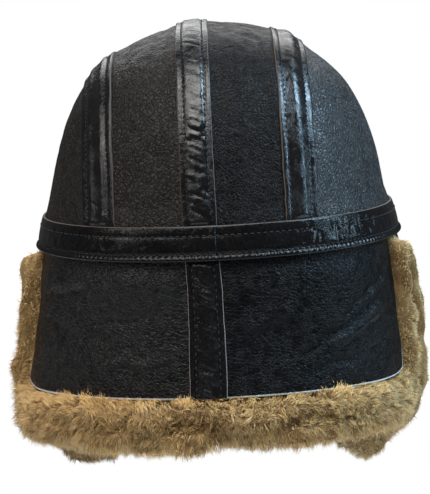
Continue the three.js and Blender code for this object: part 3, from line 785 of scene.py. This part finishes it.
# Heights of the rows of points, closer together at the edges and over the bead.
BAND_LEVELS = np.array([
    0, 0.25, 0.6, 0.95, 1.3, 1.7, 2.1, 2.45, 2.8, 3.1, 3.5, 4.2, 5.2, 6.2, 7.2, 8.2, 9.2, 10.1, 10.8, 11.4,
    12, 12.8, 13.7, 14.5, 15.2, 15.5, 15.8, 16,
])


def band_height(length, z):
    spot = flat3(length, z)
    body = BAND_THICKNESS * (0.72 + 0.36 * np.sin(np.pi * np.clip(z / BAND_HEIGHT, 0, 1)) ** 0.8)
    lower = 0.7 * bell(z, LOWER_ROW, 0.65) - 0.9 * smoothstep(3.4, 0.6, z)
    upper = 0.22 * bell(z, UPPER_ROW, 0.6)
    uneven = 0.65 + 0.35 * noise(spot, 9, 91)
    pucker = 0.42 * np.cos(2 * np.pi * length / LOWER_STEP) * bell(z, LOWER_ROW - 1.0, 1.6) * uneven
    slanted = flat3(length + 0.25 * z + 1.5 * noise(spot, 12, 92), z)
    wrinkle = bell(noise(slanted, (4.2, 16, 1), 93), 0, 0.2)
    fine = bell(noise(slanted, (2.2, 7, 1), 94), 0, 0.25)
    zone = smoothstep(-0.3, 0.4, noise(flat3(length, 0 * z), 34, 95))
    middle = smoothstep(3.0, 5.5, z) * smoothstep(15.2, 12.5, z)
    worn = middle * (0.25 + 0.75 * zone) * (0.42 * wrinkle + 0.2 * fine)
    past = length % OVAL_LENGTH - LAP
    over = np.where(past > 0, 0.75 * np.exp(-past / 14), 0)
    return body - lower - upper + pucker - worn + over


def band_surface(length, z):
    return wall_point(length, z, 0)


def band_body():
    lengths = np.arange(0, OVAL_LENGTH - 0.4, 0.75)
    lengths = np.sort(np.concatenate([lengths[np.abs(lengths - LAP) > 0.3], [LAP - 0.08, LAP + 0.08]]))
    z, length = np.meshgrid(BAND_LEVELS, lengths, indexing="ij")
    from_edge = np.minimum(z, BAND_HEIGHT - z)
    height = band_height(length, z) - rolled(from_edge, 0.7)
    outer = off_wall(band_surface, length, z, GAP + height)
    inner = off_wall(band_surface, length, z, GAP + 0 * height)
    edge = np.where(z > BAND_HEIGHT / 2, from_edge, FAR_FROM_EDGE)
    edge = np.where(np.abs(length - LAP) < 0.3, np.minimum(edge, 0.42), edge)
    place(leather_body("band_leather", outer, inner, BAND, edge, wrap=True), ["band"])


def band_row(z, step, lift):
    length = stitch_run(np.arange(0.8, OVAL_LENGTH - 1, step))
    level = np.full_like(length, z)
    rise = GAP + band_height(length, level) + lift * np.array([-1.2, 0.35, 0.9, 0.35, -1.2])
    return off_wall(band_surface, length, level, rise)


band_body()
stitches("band_stitches_low", band_row(LOWER_ROW, LOWER_STEP, 0.3), THREAD)
stitches("band_stitches_high", band_row(UPPER_ROW, 3.1, 0.28), THREAD_BROWN)


# The flaps' leather.
def creases(length, z, rows):
    """Long soft creases between pairs of points on a flat flap: from, to, width and depth."""
    total = np.zeros_like(length)
    for x0, z0, x1, z1, wide, deep in rows:
        run = math.hypot(x1 - x0, z1 - z0)
        along = ((length - x0) * (x1 - x0) + (z - z0) * (z1 - z0)) / run
        beside = ((length - x0) * (z1 - z0) - (z - z0) * (x1 - x0)) / run
        beside = beside + 1.6 * noise(flat3(length, z), 9, 7)
        ends = smoothstep(-4, 6, along) * smoothstep(run + 4, run - 6, along)
        total += deep * np.exp(-((beside / wide) ** 2)) * ends
    return total


NAPE_CREASES = (
    (-98, -14, -58, -33, 2.2, -1.2), (-94, -22, -46, -42, 2.4, -1.2), (-60, -38, -34, -46, 1.8, -0.9),
    (-96, -18, -52, -38, 2.6, 1.3), (-92, -30, -50, -46, 2.4, 1.2), (-80, -36, -44, -49, 1.6, -0.9),
    (-34, -20, -12, -34, 3.0, 0.9), (-88, -48, -40, -54, 2.2, -0.8),
    (30, -24, 62, -30, 2.2, -0.7), (54, -38, 92, -34, 2.0, -0.7), (24, -46, 58, -49, 2.0, 0.6),
    (70, -14, 110, -20, 2.6, -0.7),
)


def flap_relief(length, z, seed, strength=1.0):
    spot = flat3(length, z)
    warped = spot + 2.2 * noise(spot, 12, seed)[..., None]
    lines = bell(noise(warped, (12, 4.6, 1), seed + 1), 0, 0.17)
    fine = bell(noise(warped, (6.5, 2.6, 1), seed + 2), 0, 0.2)
    zone = smoothstep(-0.35, 0.45, noise(spot, 22, seed + 3))
    soft = 0.6 * noise(spot, 30, seed + 4) + 0.3 * noise(spot, 11, seed + 5)
    return strength * (soft - (0.35 + 0.65 * zone) * (0.45 * lines + 0.26 * fine))


def flap_leather(name, node, flap, start, end, seed, cut_sides, material, pitch=1.7, swell=0.0, rows=()):
    """One leather part of a flap between two shares across it. cut_sides says which sides are cut edges."""
    width = abs(flap["end"] - flap["start"]) / 2
    drop = full_drop(flap)
    across = start + stops((end - start) * width, pitch) / width
    down = np.concatenate([[0], stops(drop, pitch)[2:] / drop])
    v, u = np.meshgrid(down, across, indexing="ij")
    shrink = 1 - (flap["rear"] + flap["front"]) / 2 * v**1.3
    from_edge = (1 - v) * drop
    for cut, away in zip(cut_sides, (u - start, end - u)):
        if cut:
            from_edge = np.minimum(from_edge, away * width * shrink)
    length, z = flat_point(flap, u, v)
    relief = np.maximum(flap_relief(length, z, seed), 0.8 - LEATHER)
    fold = np.clip(1.5 * creases(length, z, rows) + swell * bell(z, -11, 7), -1.1, 2.0)
    held = smoothstep(-1.5, -9, z) * smoothstep(0.0, 9, from_edge + 1.5)
    if flap is nape:
        held = held * smoothstep(TAPE_WIDTH / 2, TAPE_WIDTH / 2 + 5, np.abs(u) * width)
    lifted = 0.35 * noise(flat3(length, z), 13, seed + 9) * smoothstep(6, 0, from_edge)
    lifted = lifted * smoothstep(-4, -12, z)
    side_edge = from_edge + 1.1 * smoothstep(0.96, 0.6, v)
    shown_edge = np.where(from_edge < (1 - v) * drop, side_edge, from_edge)
    outer = flap_point(flap, u, v, (relief + fold) * held + lifted - rolled(from_edge, 0.8))
    inner = flap_point(flap, u, v, fold * held + lifted - LEATHER)
    place(leather_body(name, outer, inner, material, shown_edge), [node])


nape = FLAPS["nape"]
half_gap = GAP / 2 / NAPE_HALF
for part_name, node_name, flap, start, end, seed, cut_sides, material, *more in (
    ("nape_leather_right", "nape_flap_right", nape, -1, -half_gap, 111, (True, False), NAPE_PAINTED_SHADE, 1.3, 0.8,
     NAPE_CREASES),
    ("nape_leather_left", "nape_flap_left", nape, half_gap, 1, 121, (False, True), NAPE, 1.3, 1.3,
     NAPE_CREASES),
    ("ear_leather_left", "ear_flap_left", FLAPS["ear_left"], -1, 1, 131, (True, True), NAPE),
    ("ear_leather_right", "ear_flap_right", FLAPS["ear_right"], -1, 1, 141, (True, True), NAPE_PAINTED_SHADE),
    ("brow_leather", "brow_strip", FLAPS["brow"], -1, 1, 151, (True, True), NAPE),
):
    flap_leather(part_name, node_name, flap, start, end, seed, cut_sides, material, *more)


# The tape down the middle of the nape flap lies a little askew: how far its low end is to the wearer's right.
NAPE_TAPE_LEAN = 3.5


def nape_tape():
    seed = 160
    drop = full_drop(nape)
    first = SEAM_Z - 2.5

    def surface(s, c, rise):
        across = c + edge_wander(s, c, seed) - NAPE_TAPE_LEAN * s / drop
        return flap_point(nape, across / NAPE_HALF, s / drop, rise)

    def rise(s, c, lift):
        return TAPE_UNDER + tucked(s - first - 2.0, tape_height(s, c, seed, 0.75, 1.2) + lift)

    along = np.concatenate([np.linspace(first, drop - 0.5, 80), [drop - 0.2, drop]])
    runs = stitch_run(np.arange(first + 6, drop - 1.5, 3.2))
    rows = lay_tape("nape_tape_leather", "nape_tape", NAPE_TAPE, along, runs, surface, rise, drop)
    stitches("nape_stitches", rows, THREAD)


nape_tape()


# Wool. The section of the roll past a cut edge: how far out from the edge, how far in front of the leather as
# a share of the bulge, and how far behind it as a share of the pile. It has two swellings and a crease.
SECTION_SHARE = np.array([0, 0.02, 0.12, 0.24, 0.36, 0.46, 0.58, 0.7, 0.8, 0.9, 1.0])
SECTION_REACH = np.array([0, 0.015, 0.2, 0.4, 0.52, 0.66, 0.86, 1.0, 1.0, 0.8, 0.4])
SECTION_FRONT = np.array([0, 0.05, 0.62, 0.9, 0.34, 0.95, 0.8, 0.15, 0, 0, 0])
SECTION_BACK = np.array([0, 0, 0, 0, 0, 0, 0, 0.05, 0.4, 0.85, 1.05])
FRONT_END = 0.72  # the share of the section that lies in front of the leather
WALK = 7.0  # how far to each side the edge's direction is read


def wool_object(name, node, points, faces):
    colours = np.tile([0.4, 0.5, 0.5, 1.0], (len(points), 1))
    place(make_object(name, points, faces, FELT_PAINTED_SHADE, colours=colours), [node])


def edge_reach(flap, walked, down, outward, clear, fuzz):
    """How far the roll stands past the cut edge, and how far each place is round its low end."""
    at_side = flap["side"] + (flap["side_low"] - flap["side"]) * down**2
    at_side = at_side + flap["top_full"] * bell(down, clear, 0.16)
    low = smoothstep(0.2, 0.95, -outward[:, 1]) * smoothstep(clear + 0.1, clear + 0.35, down)
    reach = at_side + (flap["below"] - at_side) * low
    for full_at in flap["full_at"]:
        reach = reach + 4.5 * bell(walked, full_at, 22)
    return np.maximum(reach - fuzz * 0.75, 1.6), low


def wool_body(name, flap, seed, pitch=2.2):
    """The dense body of a flap's wool. Returns the grids that strands grow on."""
    drop = full_drop(flap)
    clear = (SEAM_Z + GAP) / drop
    levels = np.concatenate([[0, clear], np.linspace(clear, 1, max(3, int(drop * (1 - clear) / pitch)))[1:]])
    columns = max(8, int(abs(flap["end"] - flap["start"]) / pitch))
    across = np.linspace(-1, 1, columns + 1)
    v, u = np.meshgrid(levels, across, indexing="ij")
    fuzz = flap["fuzz"]  # how far the strands stand out of the body

    def depth(down):
        return FELT_FACE + (FLAP_PILE - fuzz) * np.minimum(1, 0.55 + down)

    spot = flat3(*flat_point(flap, u, v))
    lump = 1.5 * noise(spot, 12, seed) + 0.8 * noise(spot, 6, seed + 1)
    front = flap_point(flap, u, v, -FELT_FACE + 0 * u)
    back = flap_point(flap, u, v, -(depth(v) + lump * np.minimum(1, 3 * v)))

    # Round the cut edge: down the rear side, along the low end and up the front side.
    last = len(levels) - 1
    rows_index = np.r_[:last + 1, [last] * (columns - 1), last:-1:-1]
    column_index = np.r_[[0] * (last + 1), 1:columns, [columns] * (last + 1)]
    down = levels[rows_index]
    flats = np.stack(flat_point(flap, across[column_index], down), -1)
    walked = np.concatenate([[0], np.cumsum(np.linalg.norm(np.diff(flats, axis=0), axis=1))])

    def flat_at(length):
        return np.stack([np.interp(length, walked, flats[:, i]) for i in (0, 1)], -1)

    along = unit(flat_at(walked + WALK) - flat_at(walked - WALK))
    hand = math.copysign(1, flap["end"] - flap["start"])
    outward = np.stack([along[:, 1], -along[:, 0]], -1) * hand
    reach, low = edge_reach(flap, walked, down, outward, clear, fuzz)
    bulge = max(flap["bulge"] - fuzz * 0.8, 1.0)

    # The section at each station: one swelling at the sides, two with a crease between them at the low end.
    t = np.concatenate([[0, 0.008, 0.02, 0.045], np.linspace(0.08, 1, 22)])
    section_reach, section_front, section_back = [
        smooth_table(SECTION_SHARE, values, t) for values in (SECTION_REACH, SECTION_FRONT, SECTION_BACK)
    ]
    single = np.minimum(1.0, 1.05 * np.sin(np.pi * np.clip(t / FRONT_END, 0, 1)) ** 0.5)
    two = low[:, None]
    wave = 1 + 0.3 * noise(flat3(walked, 0 * walked), 18, seed + 2)[:, None]
    front_share = np.where(t < FRONT_END, section_front * two * wave + single * (1 - two), 0)
    free = (t > 0.004) & (t < FRONT_END + 0.02)
    grown = smoothstep(clear - 0.02, clear + 0.05, down)[:, None]
    skin = flat3(walked[:, None], 45 * t[None, :])
    lumps = 2.7 * noise(skin, (15, 12, 1), seed + 3) + 1.6 * noise(skin, (7, 6, 1), seed + 4)
    lumps = fuzz / 3 * lumps * smoothstep(0.02, 0.2, t)[None, :] * grown
    past = EDGE_ROOM + section_reach[None, :] * (reach[:, None] + 0.8 * lumps - EDGE_ROOM)
    place_at = flats[:, None] + outward[:, None] * past[..., None]
    swell = smoothstep(0, 0.26, t)[None, :] * (1 - two) + smoothstep(0, 0.13, t)[None, :] * two
    swell = swell * grown
    in_front = front_share * (bulge + 1.5 * (1 - two)) * swell + 0.9 * lumps - FELT_FACE * (1 - swell)
    deep = depth(down)[:, None] - FELT_FACE + 0.8 * lumps
    at_back = -FELT_FACE - np.maximum(section_back, 0)[None, :] * deep
    blend = smoothstep(0.6, 0.76, t)[None, :]
    offset = np.where(free[None, :], in_front * (1 - blend) + at_back * blend, at_back)
    roll = hang(flap, place_at[..., 0], place_at[..., 1], offset)

    sheet = (last + 1) * (columns + 1)
    stations = len(walked)
    index = np.arange(sheet).reshape(last + 1, columns + 1)
    seam = (rows_index * (columns + 1) + column_index)[:, None]
    between_seams = 2 * sheet + np.arange(stations * len(t)).reshape(stations, len(t))
    ladder = np.hstack([seam, between_seams, seam + sheet])
    sheets = grid_faces(index)
    quads = [sheets, sheets[:, ::-1] + sheet, turned(strip_faces(index[0], sheet))]
    faces = [np.concatenate(quads + [turned(grid_faces(ladder))]), ladder[:1, ::-1], ladder[-1:]]
    wool_object(name + "_body", name, joined(front, back, roll), faces)
    heart = roll[:, 6:20].mean(axis=1, keepdims=True)
    return dict(roll=roll, roll_away=roll - heart, back=back[2:], back_away=(back - front)[2:], low=low, t=t)


def cell_areas(grid):
    return np.linalg.norm(np.cross(grid[1:, :-1] - grid[:-1, :-1], grid[:-1, 1:] - grid[:-1, :-1]), axis=-1)


def sample(grid, count):
    """Random spots on a grid, evenly by area: rows and columns as real numbers."""
    area = cell_areas(grid)
    total = np.cumsum(area.ravel())
    cell = np.searchsorted(total, random.random(count) * total[-1])
    row, column = np.unravel_index(np.minimum(cell, area.size - 1), area.shape)
    return row + random.random(count), column + random.random(count)


def between(grid, spots):
    row, column = spots
    r = np.clip(row.astype(int), 0, grid.shape[0] - 2)
    c = np.clip(column.astype(int), 0, grid.shape[1] - 2)
    fr = (row - r)[:, None]
    fc = (column - c)[:, None]
    return (
        grid[r, c] * (1 - fr) * (1 - fc)
        + grid[r + 1, c] * fr * (1 - fc)
        + grid[r, c + 1] * (1 - fr) * fc
        + grid[r + 1, c + 1] * fr * fc
    )


def nearest(points, centres):
    """The nearest centre of each point, worked out for a batch of points at a time."""
    found = np.empty(len(points), int)
    for start in range(0, len(points), BATCH):
        part = points[start:start + BATCH]
        gap = (part**2).sum(1)[:, None] - 2 * part @ centres.T + (centres**2).sum(1)[None, :]
        found[start:start + BATCH] = gap.argmin(1)
    return found


def grow(name, node, grid, away, density, length, radius, lock=6.0, knots=2, droop=0.15, lean=None, tall=None,
         gather=0.6, shade=None, material=WOOL):
    """Strands of wool on a grid, on the side that away points to. They lean together in locks, and curl."""
    normals = unit(np.cross(np.gradient(grid, axis=1), np.gradient(grid, axis=0)))
    normals = normals * np.sign(np.sum(normals * away))
    area = float(cell_areas(grid).sum())
    count = int(area * density)
    spots = sample(grid, count)
    roots = between(grid, spots)
    normal = unit(between(normals, spots))
    lock_spots = sample(grid, max(4, int(area / lock**2)))
    centres = between(grid, lock_spots)
    lock_normal = unit(between(normals, lock_spots))
    tilt = random.normal(size=centres.shape) * 0.3
    lock_way = unit(lock_normal + tilt + np.array([0, 0, -droop]))
    lock_length = length * (0.82 + 0.36 * random.random(len(centres)))
    own = length * (0.7 + 0.5 * random.random(count))
    if tall is not None:
        lock_length = lock_length * between(tall, lock_spots)[:, 0]
        own = own * between(tall, spots)[:, 0]
    if lean is not None:
        lock_way = unit(lock_way + between(lean, lock_spots))
        normal = unit(normal + between(lean, spots))
    lock_tip = centres + lock_way * (lock_length * 1.05)[:, None]
    mine = nearest(roots, centres)
    free_way = unit(normal * 0.7 + lock_way[mine] * 0.6 + random.normal(size=normal.shape) * 0.22)
    free_tip = roots + free_way * own[:, None]
    pull = gather * (0.75 + 0.5 * random.random(count))[:, None]
    tip = free_tip * (1 - pull) + (lock_tip[mine] + random.normal(size=roots.shape) * 0.7) * pull
    far = np.linalg.norm(tip - roots, axis=1, keepdims=True)
    limit = (own * 1.25)[:, None]
    tip = roots + (tip - roots) * np.minimum(1, limit / np.maximum(far, 1e-6))
    share = np.linspace(0, 1, knots)[None, :, None]
    start = roots - normal * 0.7
    middle = roots + normal * (own * 0.55)[:, None]
    path = start[:, None] * (1 - share) ** 2 + 2 * middle[:, None] * share * (1 - share)
    path = path + tip[:, None] * share**2
    side_a = unit(np.cross(normal, random.normal(size=normal.shape)))
    side_b = np.cross(normal, side_a)
    phase = random.random((count, 1)) * 2 * np.pi + share[..., 0] * random.uniform(3.5, 6.5, (count, 1))
    curl = (CURL * share[..., 0] * random.uniform(0.5, 1.4, (count, 1)))[..., None]
    circle = np.cos(phase)[..., None] * side_a[:, None] + np.sin(phase)[..., None] * side_b[:, None]
    path = path + curl * circle
    radii = radius * random.uniform(0.7, 1.25, (count, 1)) * TAPERS[knots]
    tones = random.normal(0.5, 0.16, len(centres)).clip(0, 1)
    # shade paints shade into the strands: it lowers their lock and strand tones.
    dark = 0 if shade is None else shade(roots)
    colours = np.stack([tones[mine] - dark, random.random(count) - dark], 1).clip(0, 1)
    by_lock = np.argsort(mine, kind="stable")
    piece = strands(name, path[by_lock], radii[by_lock], 3, material, colours[by_lock])
    place(piece, [node])


wool = {}
for wool_name, wool_seed in (("nape", 201), ("ear_left", 211), ("ear_right", 221), ("brow", 231)):
    wool[wool_name] = wool_body(wool_name + "_wool", FLAPS[wool_name], wool_seed)


def grow_roll(part, density, length, radius, label="", **settings):
    """Wool round a flap's cut edge. It leans away from the leather, and hangs a little further out."""
    made = wool[part]
    grid = made["roll"]
    t = made["t"]
    low = made["low"][:, None]
    strength = 0.15 + 0.5 * smoothstep(0.16, 0.02, t) + 0.35 * bell(t, 0.5, 0.1)
    lean = unit(np.gradient(grid, axis=1)) * (strength[None, :] * (0.45 + 0.55 * low))[..., None]
    lean[..., 2] -= 0.3 * low * smoothstep(0.2, 0.5, t)[None, :]
    tall = np.broadcast_to(0.62 + 0.38 * low, grid.shape[:2])[..., None]
    grow(label or part + "_wool_strands", part + "_wool", grid, made["roll_away"], density, length, radius,
         lean=lean, tall=tall, **settings)


def grow_inside(part, length, radius):
    back, away = wool[part]["back"], wool[part]["back_away"]
    grow(part + "_inner_strands", part + "_wool", back, away, 0.6, length, radius, lock=7)


def low_end_painted_shade(points):
    """How much painted shade darkens the left ear flap's wool at its low end."""
    return 0.6 * smoothstep(-88, -106, points[:, 2])


grow_roll("nape", 2.15, 4.1, 0.17, lock=8.0, gather=0.2)
grow_roll("nape", 0.6, 5.3, 0.19, label="nape_wool_locks", knots=3, lock=4.6, gather=0.68)
grow_inside("nape", 6.0, 0.36)
# The left ear flap's low end gets painted shade, and the right ear flap's wool painted cool light.
for side_name, side_look in (("ear_left", dict(shade=low_end_painted_shade)), ("ear_right", dict(material=WOOL_PAINTED_COOL_LIGHT))):
    grow_roll(side_name, 1.35, 3.2, 0.2, lock=6.5, gather=0.22, **side_look)
    grow_inside(side_name, 5.6, 0.34)
grow_roll("brow", 1.2, 3.8, 0.22, gather=0.42)
grow_inside("brow", 4.5, 0.34)


# Tufts that stand up over the nape's cut edge: from and to across the back, height, and how many strands.
TUFTS = (
    (48, 87, 8.0, 1550),
    (11, 25, 6.5, 520),
    (-60, -42, 8.0, 720),
)


def nape_tufts():
    line = wool["nape"]["roll"][:, 3]
    line = line[(line[:, 2] < -40) & (line[:, 1] > 60)]
    line = line[np.argsort(line[:, 0])]
    share = np.linspace(0, 1, 3)[None, :, None]
    paths, tones = [], []
    for x_from, x_to, tall, count in TUFTS:
        x = random.uniform(x_from, x_to, count)
        fade = np.sqrt(np.maximum(1 - ((x - (x_from + x_to) / 2) / (x_to - x_from) * 2) ** 2, 0.05))
        roots = np.stack([np.interp(x, line[:, 0], line[:, i]) for i in range(3)], -1)
        out = unit(np.stack([roots[:, 0] * 0.9, roots[:, 1], np.zeros(count)], -1))
        roots = roots + np.array([0, 0, -1])[None, :] * random.uniform(0, 5, count)[:, None] - out * 0.5
        clump = np.round(x / 4.5)
        lean_x = 0.55 * np.sin(clump * 2.4) + 0.2 * random.normal(size=count)
        length = tall * fade * random.uniform(0.55, 1.15, count)
        upright = np.stack([lean_x, 0 * x, np.ones(count)], -1)
        way = unit(upright + out * random.uniform(0.5, 1.3, count)[:, None])
        bend = out[:, None] * (share * (1 - share)) * 3.0
        paths.append(roots[:, None] + way[:, None] * share * length[:, None, None] + bend)
        tones.append(np.stack([0.5 + 0.3 * np.sin(clump * 5.1), random.random(count)], -1))
    path = np.concatenate(paths)
    radii = 0.19 * random.uniform(0.7, 1.2, (len(path), 1)) * TAPERS[3]
    place(strands("nape_tufts", path, radii, 3, WOOL, np.concatenate(tones)), ["nape_wool"])


nape_tufts()


def crown_wool():
    """The wool inside the crown, in rings from the seam up to the top."""
    rings, turns = 34, 116
    rises = np.linspace(0, np.pi / 2, rings + 1)[:-1]
    rise, angle = np.meshgrid(rises, np.linspace(0, 2 * np.pi, turns + 1)[:-1], indexing="ij")
    aim = np.stack([np.cos(rise) * np.sin(angle), np.cos(rise) * np.cos(angle), np.sin(rise)], -1)
    shell = crown_hit(CENTRE, aim)
    normals = crown_normal(shell)
    lump = 1.3 * noise(shell, 13, 301) + 0.7 * noise(shell, 6, 302)
    outer = shell - normals * FELT_FACE
    inner = shell - normals * (FELT_FACE + CROWN_PILE - 3.0 + lump)[..., None]
    count = rings * turns
    index = np.arange(count).reshape(rings, turns)
    closed = np.hstack([index, index[:, :1]])
    sheets = grid_faces(closed)
    quads = [sheets, sheets[:, ::-1] + count, turned(strip_faces(closed[0], count))]
    faces = [np.concatenate(quads), index[-1:], index[-1:, ::-1] + count]
    wool_object("crown_wool_body", "crown_wool", joined(outer, inner), faces)
    grow("crown_wool_strands", "crown_wool", inner, inner - shell, 0.13, 6.0, 0.55, lock=8, droop=0.3)


crown_wool()


# Stage, light and camera.
FLOOR_RADIUS = 1100
FLOOR_Z = -420.0
FLOOR_SIDES = 96


def plain_material(name, colour, glow):
    material, tree, position = new_material(name)
    lighter = tuple(min(1, c * 1.01) for c in colour)
    tone = ramp(tree, noise_node(tree, position, 3.0), (0.3, colour), (0.7, lighter))
    return set_shader(material, colour=tone, roughness=1.0, specular=0.0, glow_colour=grey(1), glow=glow)


turn = np.linspace(0, 2 * np.pi, FLOOR_SIDES + 1)[:-1]
disc = np.stack([FLOOR_RADIUS * np.sin(turn), FLOOR_RADIUS * np.cos(turn), np.full_like(turn, FLOOR_Z)], -1)
floor_faces = [np.arange(FLOOR_SIDES)[None, ::-1]]
floor = make_object("floor", disc, floor_faces, plain_material("floor_paint", grey(0.8), 0.25))

world = bpy.data.worlds.new("studio")
bpy.context.scene.world = world
world.use_nodes = True
background = world.node_tree.nodes["Background"]
background.inputs["Strength"].default_value = 1.0
sight = world.node_tree.nodes.new("ShaderNodeLightPath")
ambient = mix(world.node_tree, sight.outputs["Is Camera Ray"], (0.08, 0.08, 0.082), (1.0, 1.0, 1.0))
feed(world.node_tree, [background.inputs["Color"]], [ambient])


for name, spot, aim, size, power, colour in (
    ("light_above", (0.1, 0.5, 1.2), (0, 0.05, 0.05), (0.7, 0.9), 22, (1.0, 0.985, 0.965)),
    ("light_left", (1.15, 0.4, 0.95), (0, 0.05, 0), (0.4, 0.8), 7.5, (1.0, 0.96, 0.92)),
    ("light_shoulder", (0.72, 0.85, 1.05), (0, 0.05, 0), (0.3, 0.3), 3.6, (1.0, 0.96, 0.95)),
    ("light_right", (-0.85, 0.1, 0.9), (0, 0.05, 0.03), (0.35, 0.6), 26, (0.5, 0.76, 1.0)),
    ("light_low", (-1.05, 0.12, 0.22), (0, 0.05, 0.01), (0.12, 0.35), 3.8, (0.5, 0.78, 1.0)),
    ("light_behind", (0, -1.2, 0.9), (0, 0, 0), (1.2, 0.8), 8, (1.0, 1.0, 1.0)),
):
    data = bpy.data.lights.new(name, "AREA")
    data.shape = "RECTANGLE"
    data.size, data.size_y = size
    data.energy = power
    data.color = colour
    lamp = bpy.data.objects.new(name, data)
    bpy.context.scene.collection.objects.link(lamp)
    lamp.location = spot
    lamp.rotation_euler = (Vector(aim) - Vector(spot)).to_track_quat("-Z", "Y").to_euler()

camera_data = bpy.data.cameras.new("camera")
camera_data.sensor_width = 36
camera_data.lens = 117.7
camera_data.clip_end = 60
camera = bpy.data.objects.new("camera", camera_data)
bpy.context.scene.collection.objects.link(camera)
bpy.context.scene.camera = camera
eye = Vector((0, 0.850, 0.095))
look = (Vector((0.0022, 0, -0.0066)) - eye).normalized()
right = look.cross(Vector((0, 0, 1))).normalized()
up = right.cross(look)
tilt = math.radians(2.9)
tilted_up = up * math.cos(tilt) + right * math.sin(tilt)
tilted_right = right * math.cos(tilt) - up * math.sin(tilt)
stance = Matrix((tilted_right, tilted_up, -look)).transposed().to_4x4()
stance.translation = eye
camera.matrix_world = stance
bpy.context.scene.view_settings.view_transform = "Standard"
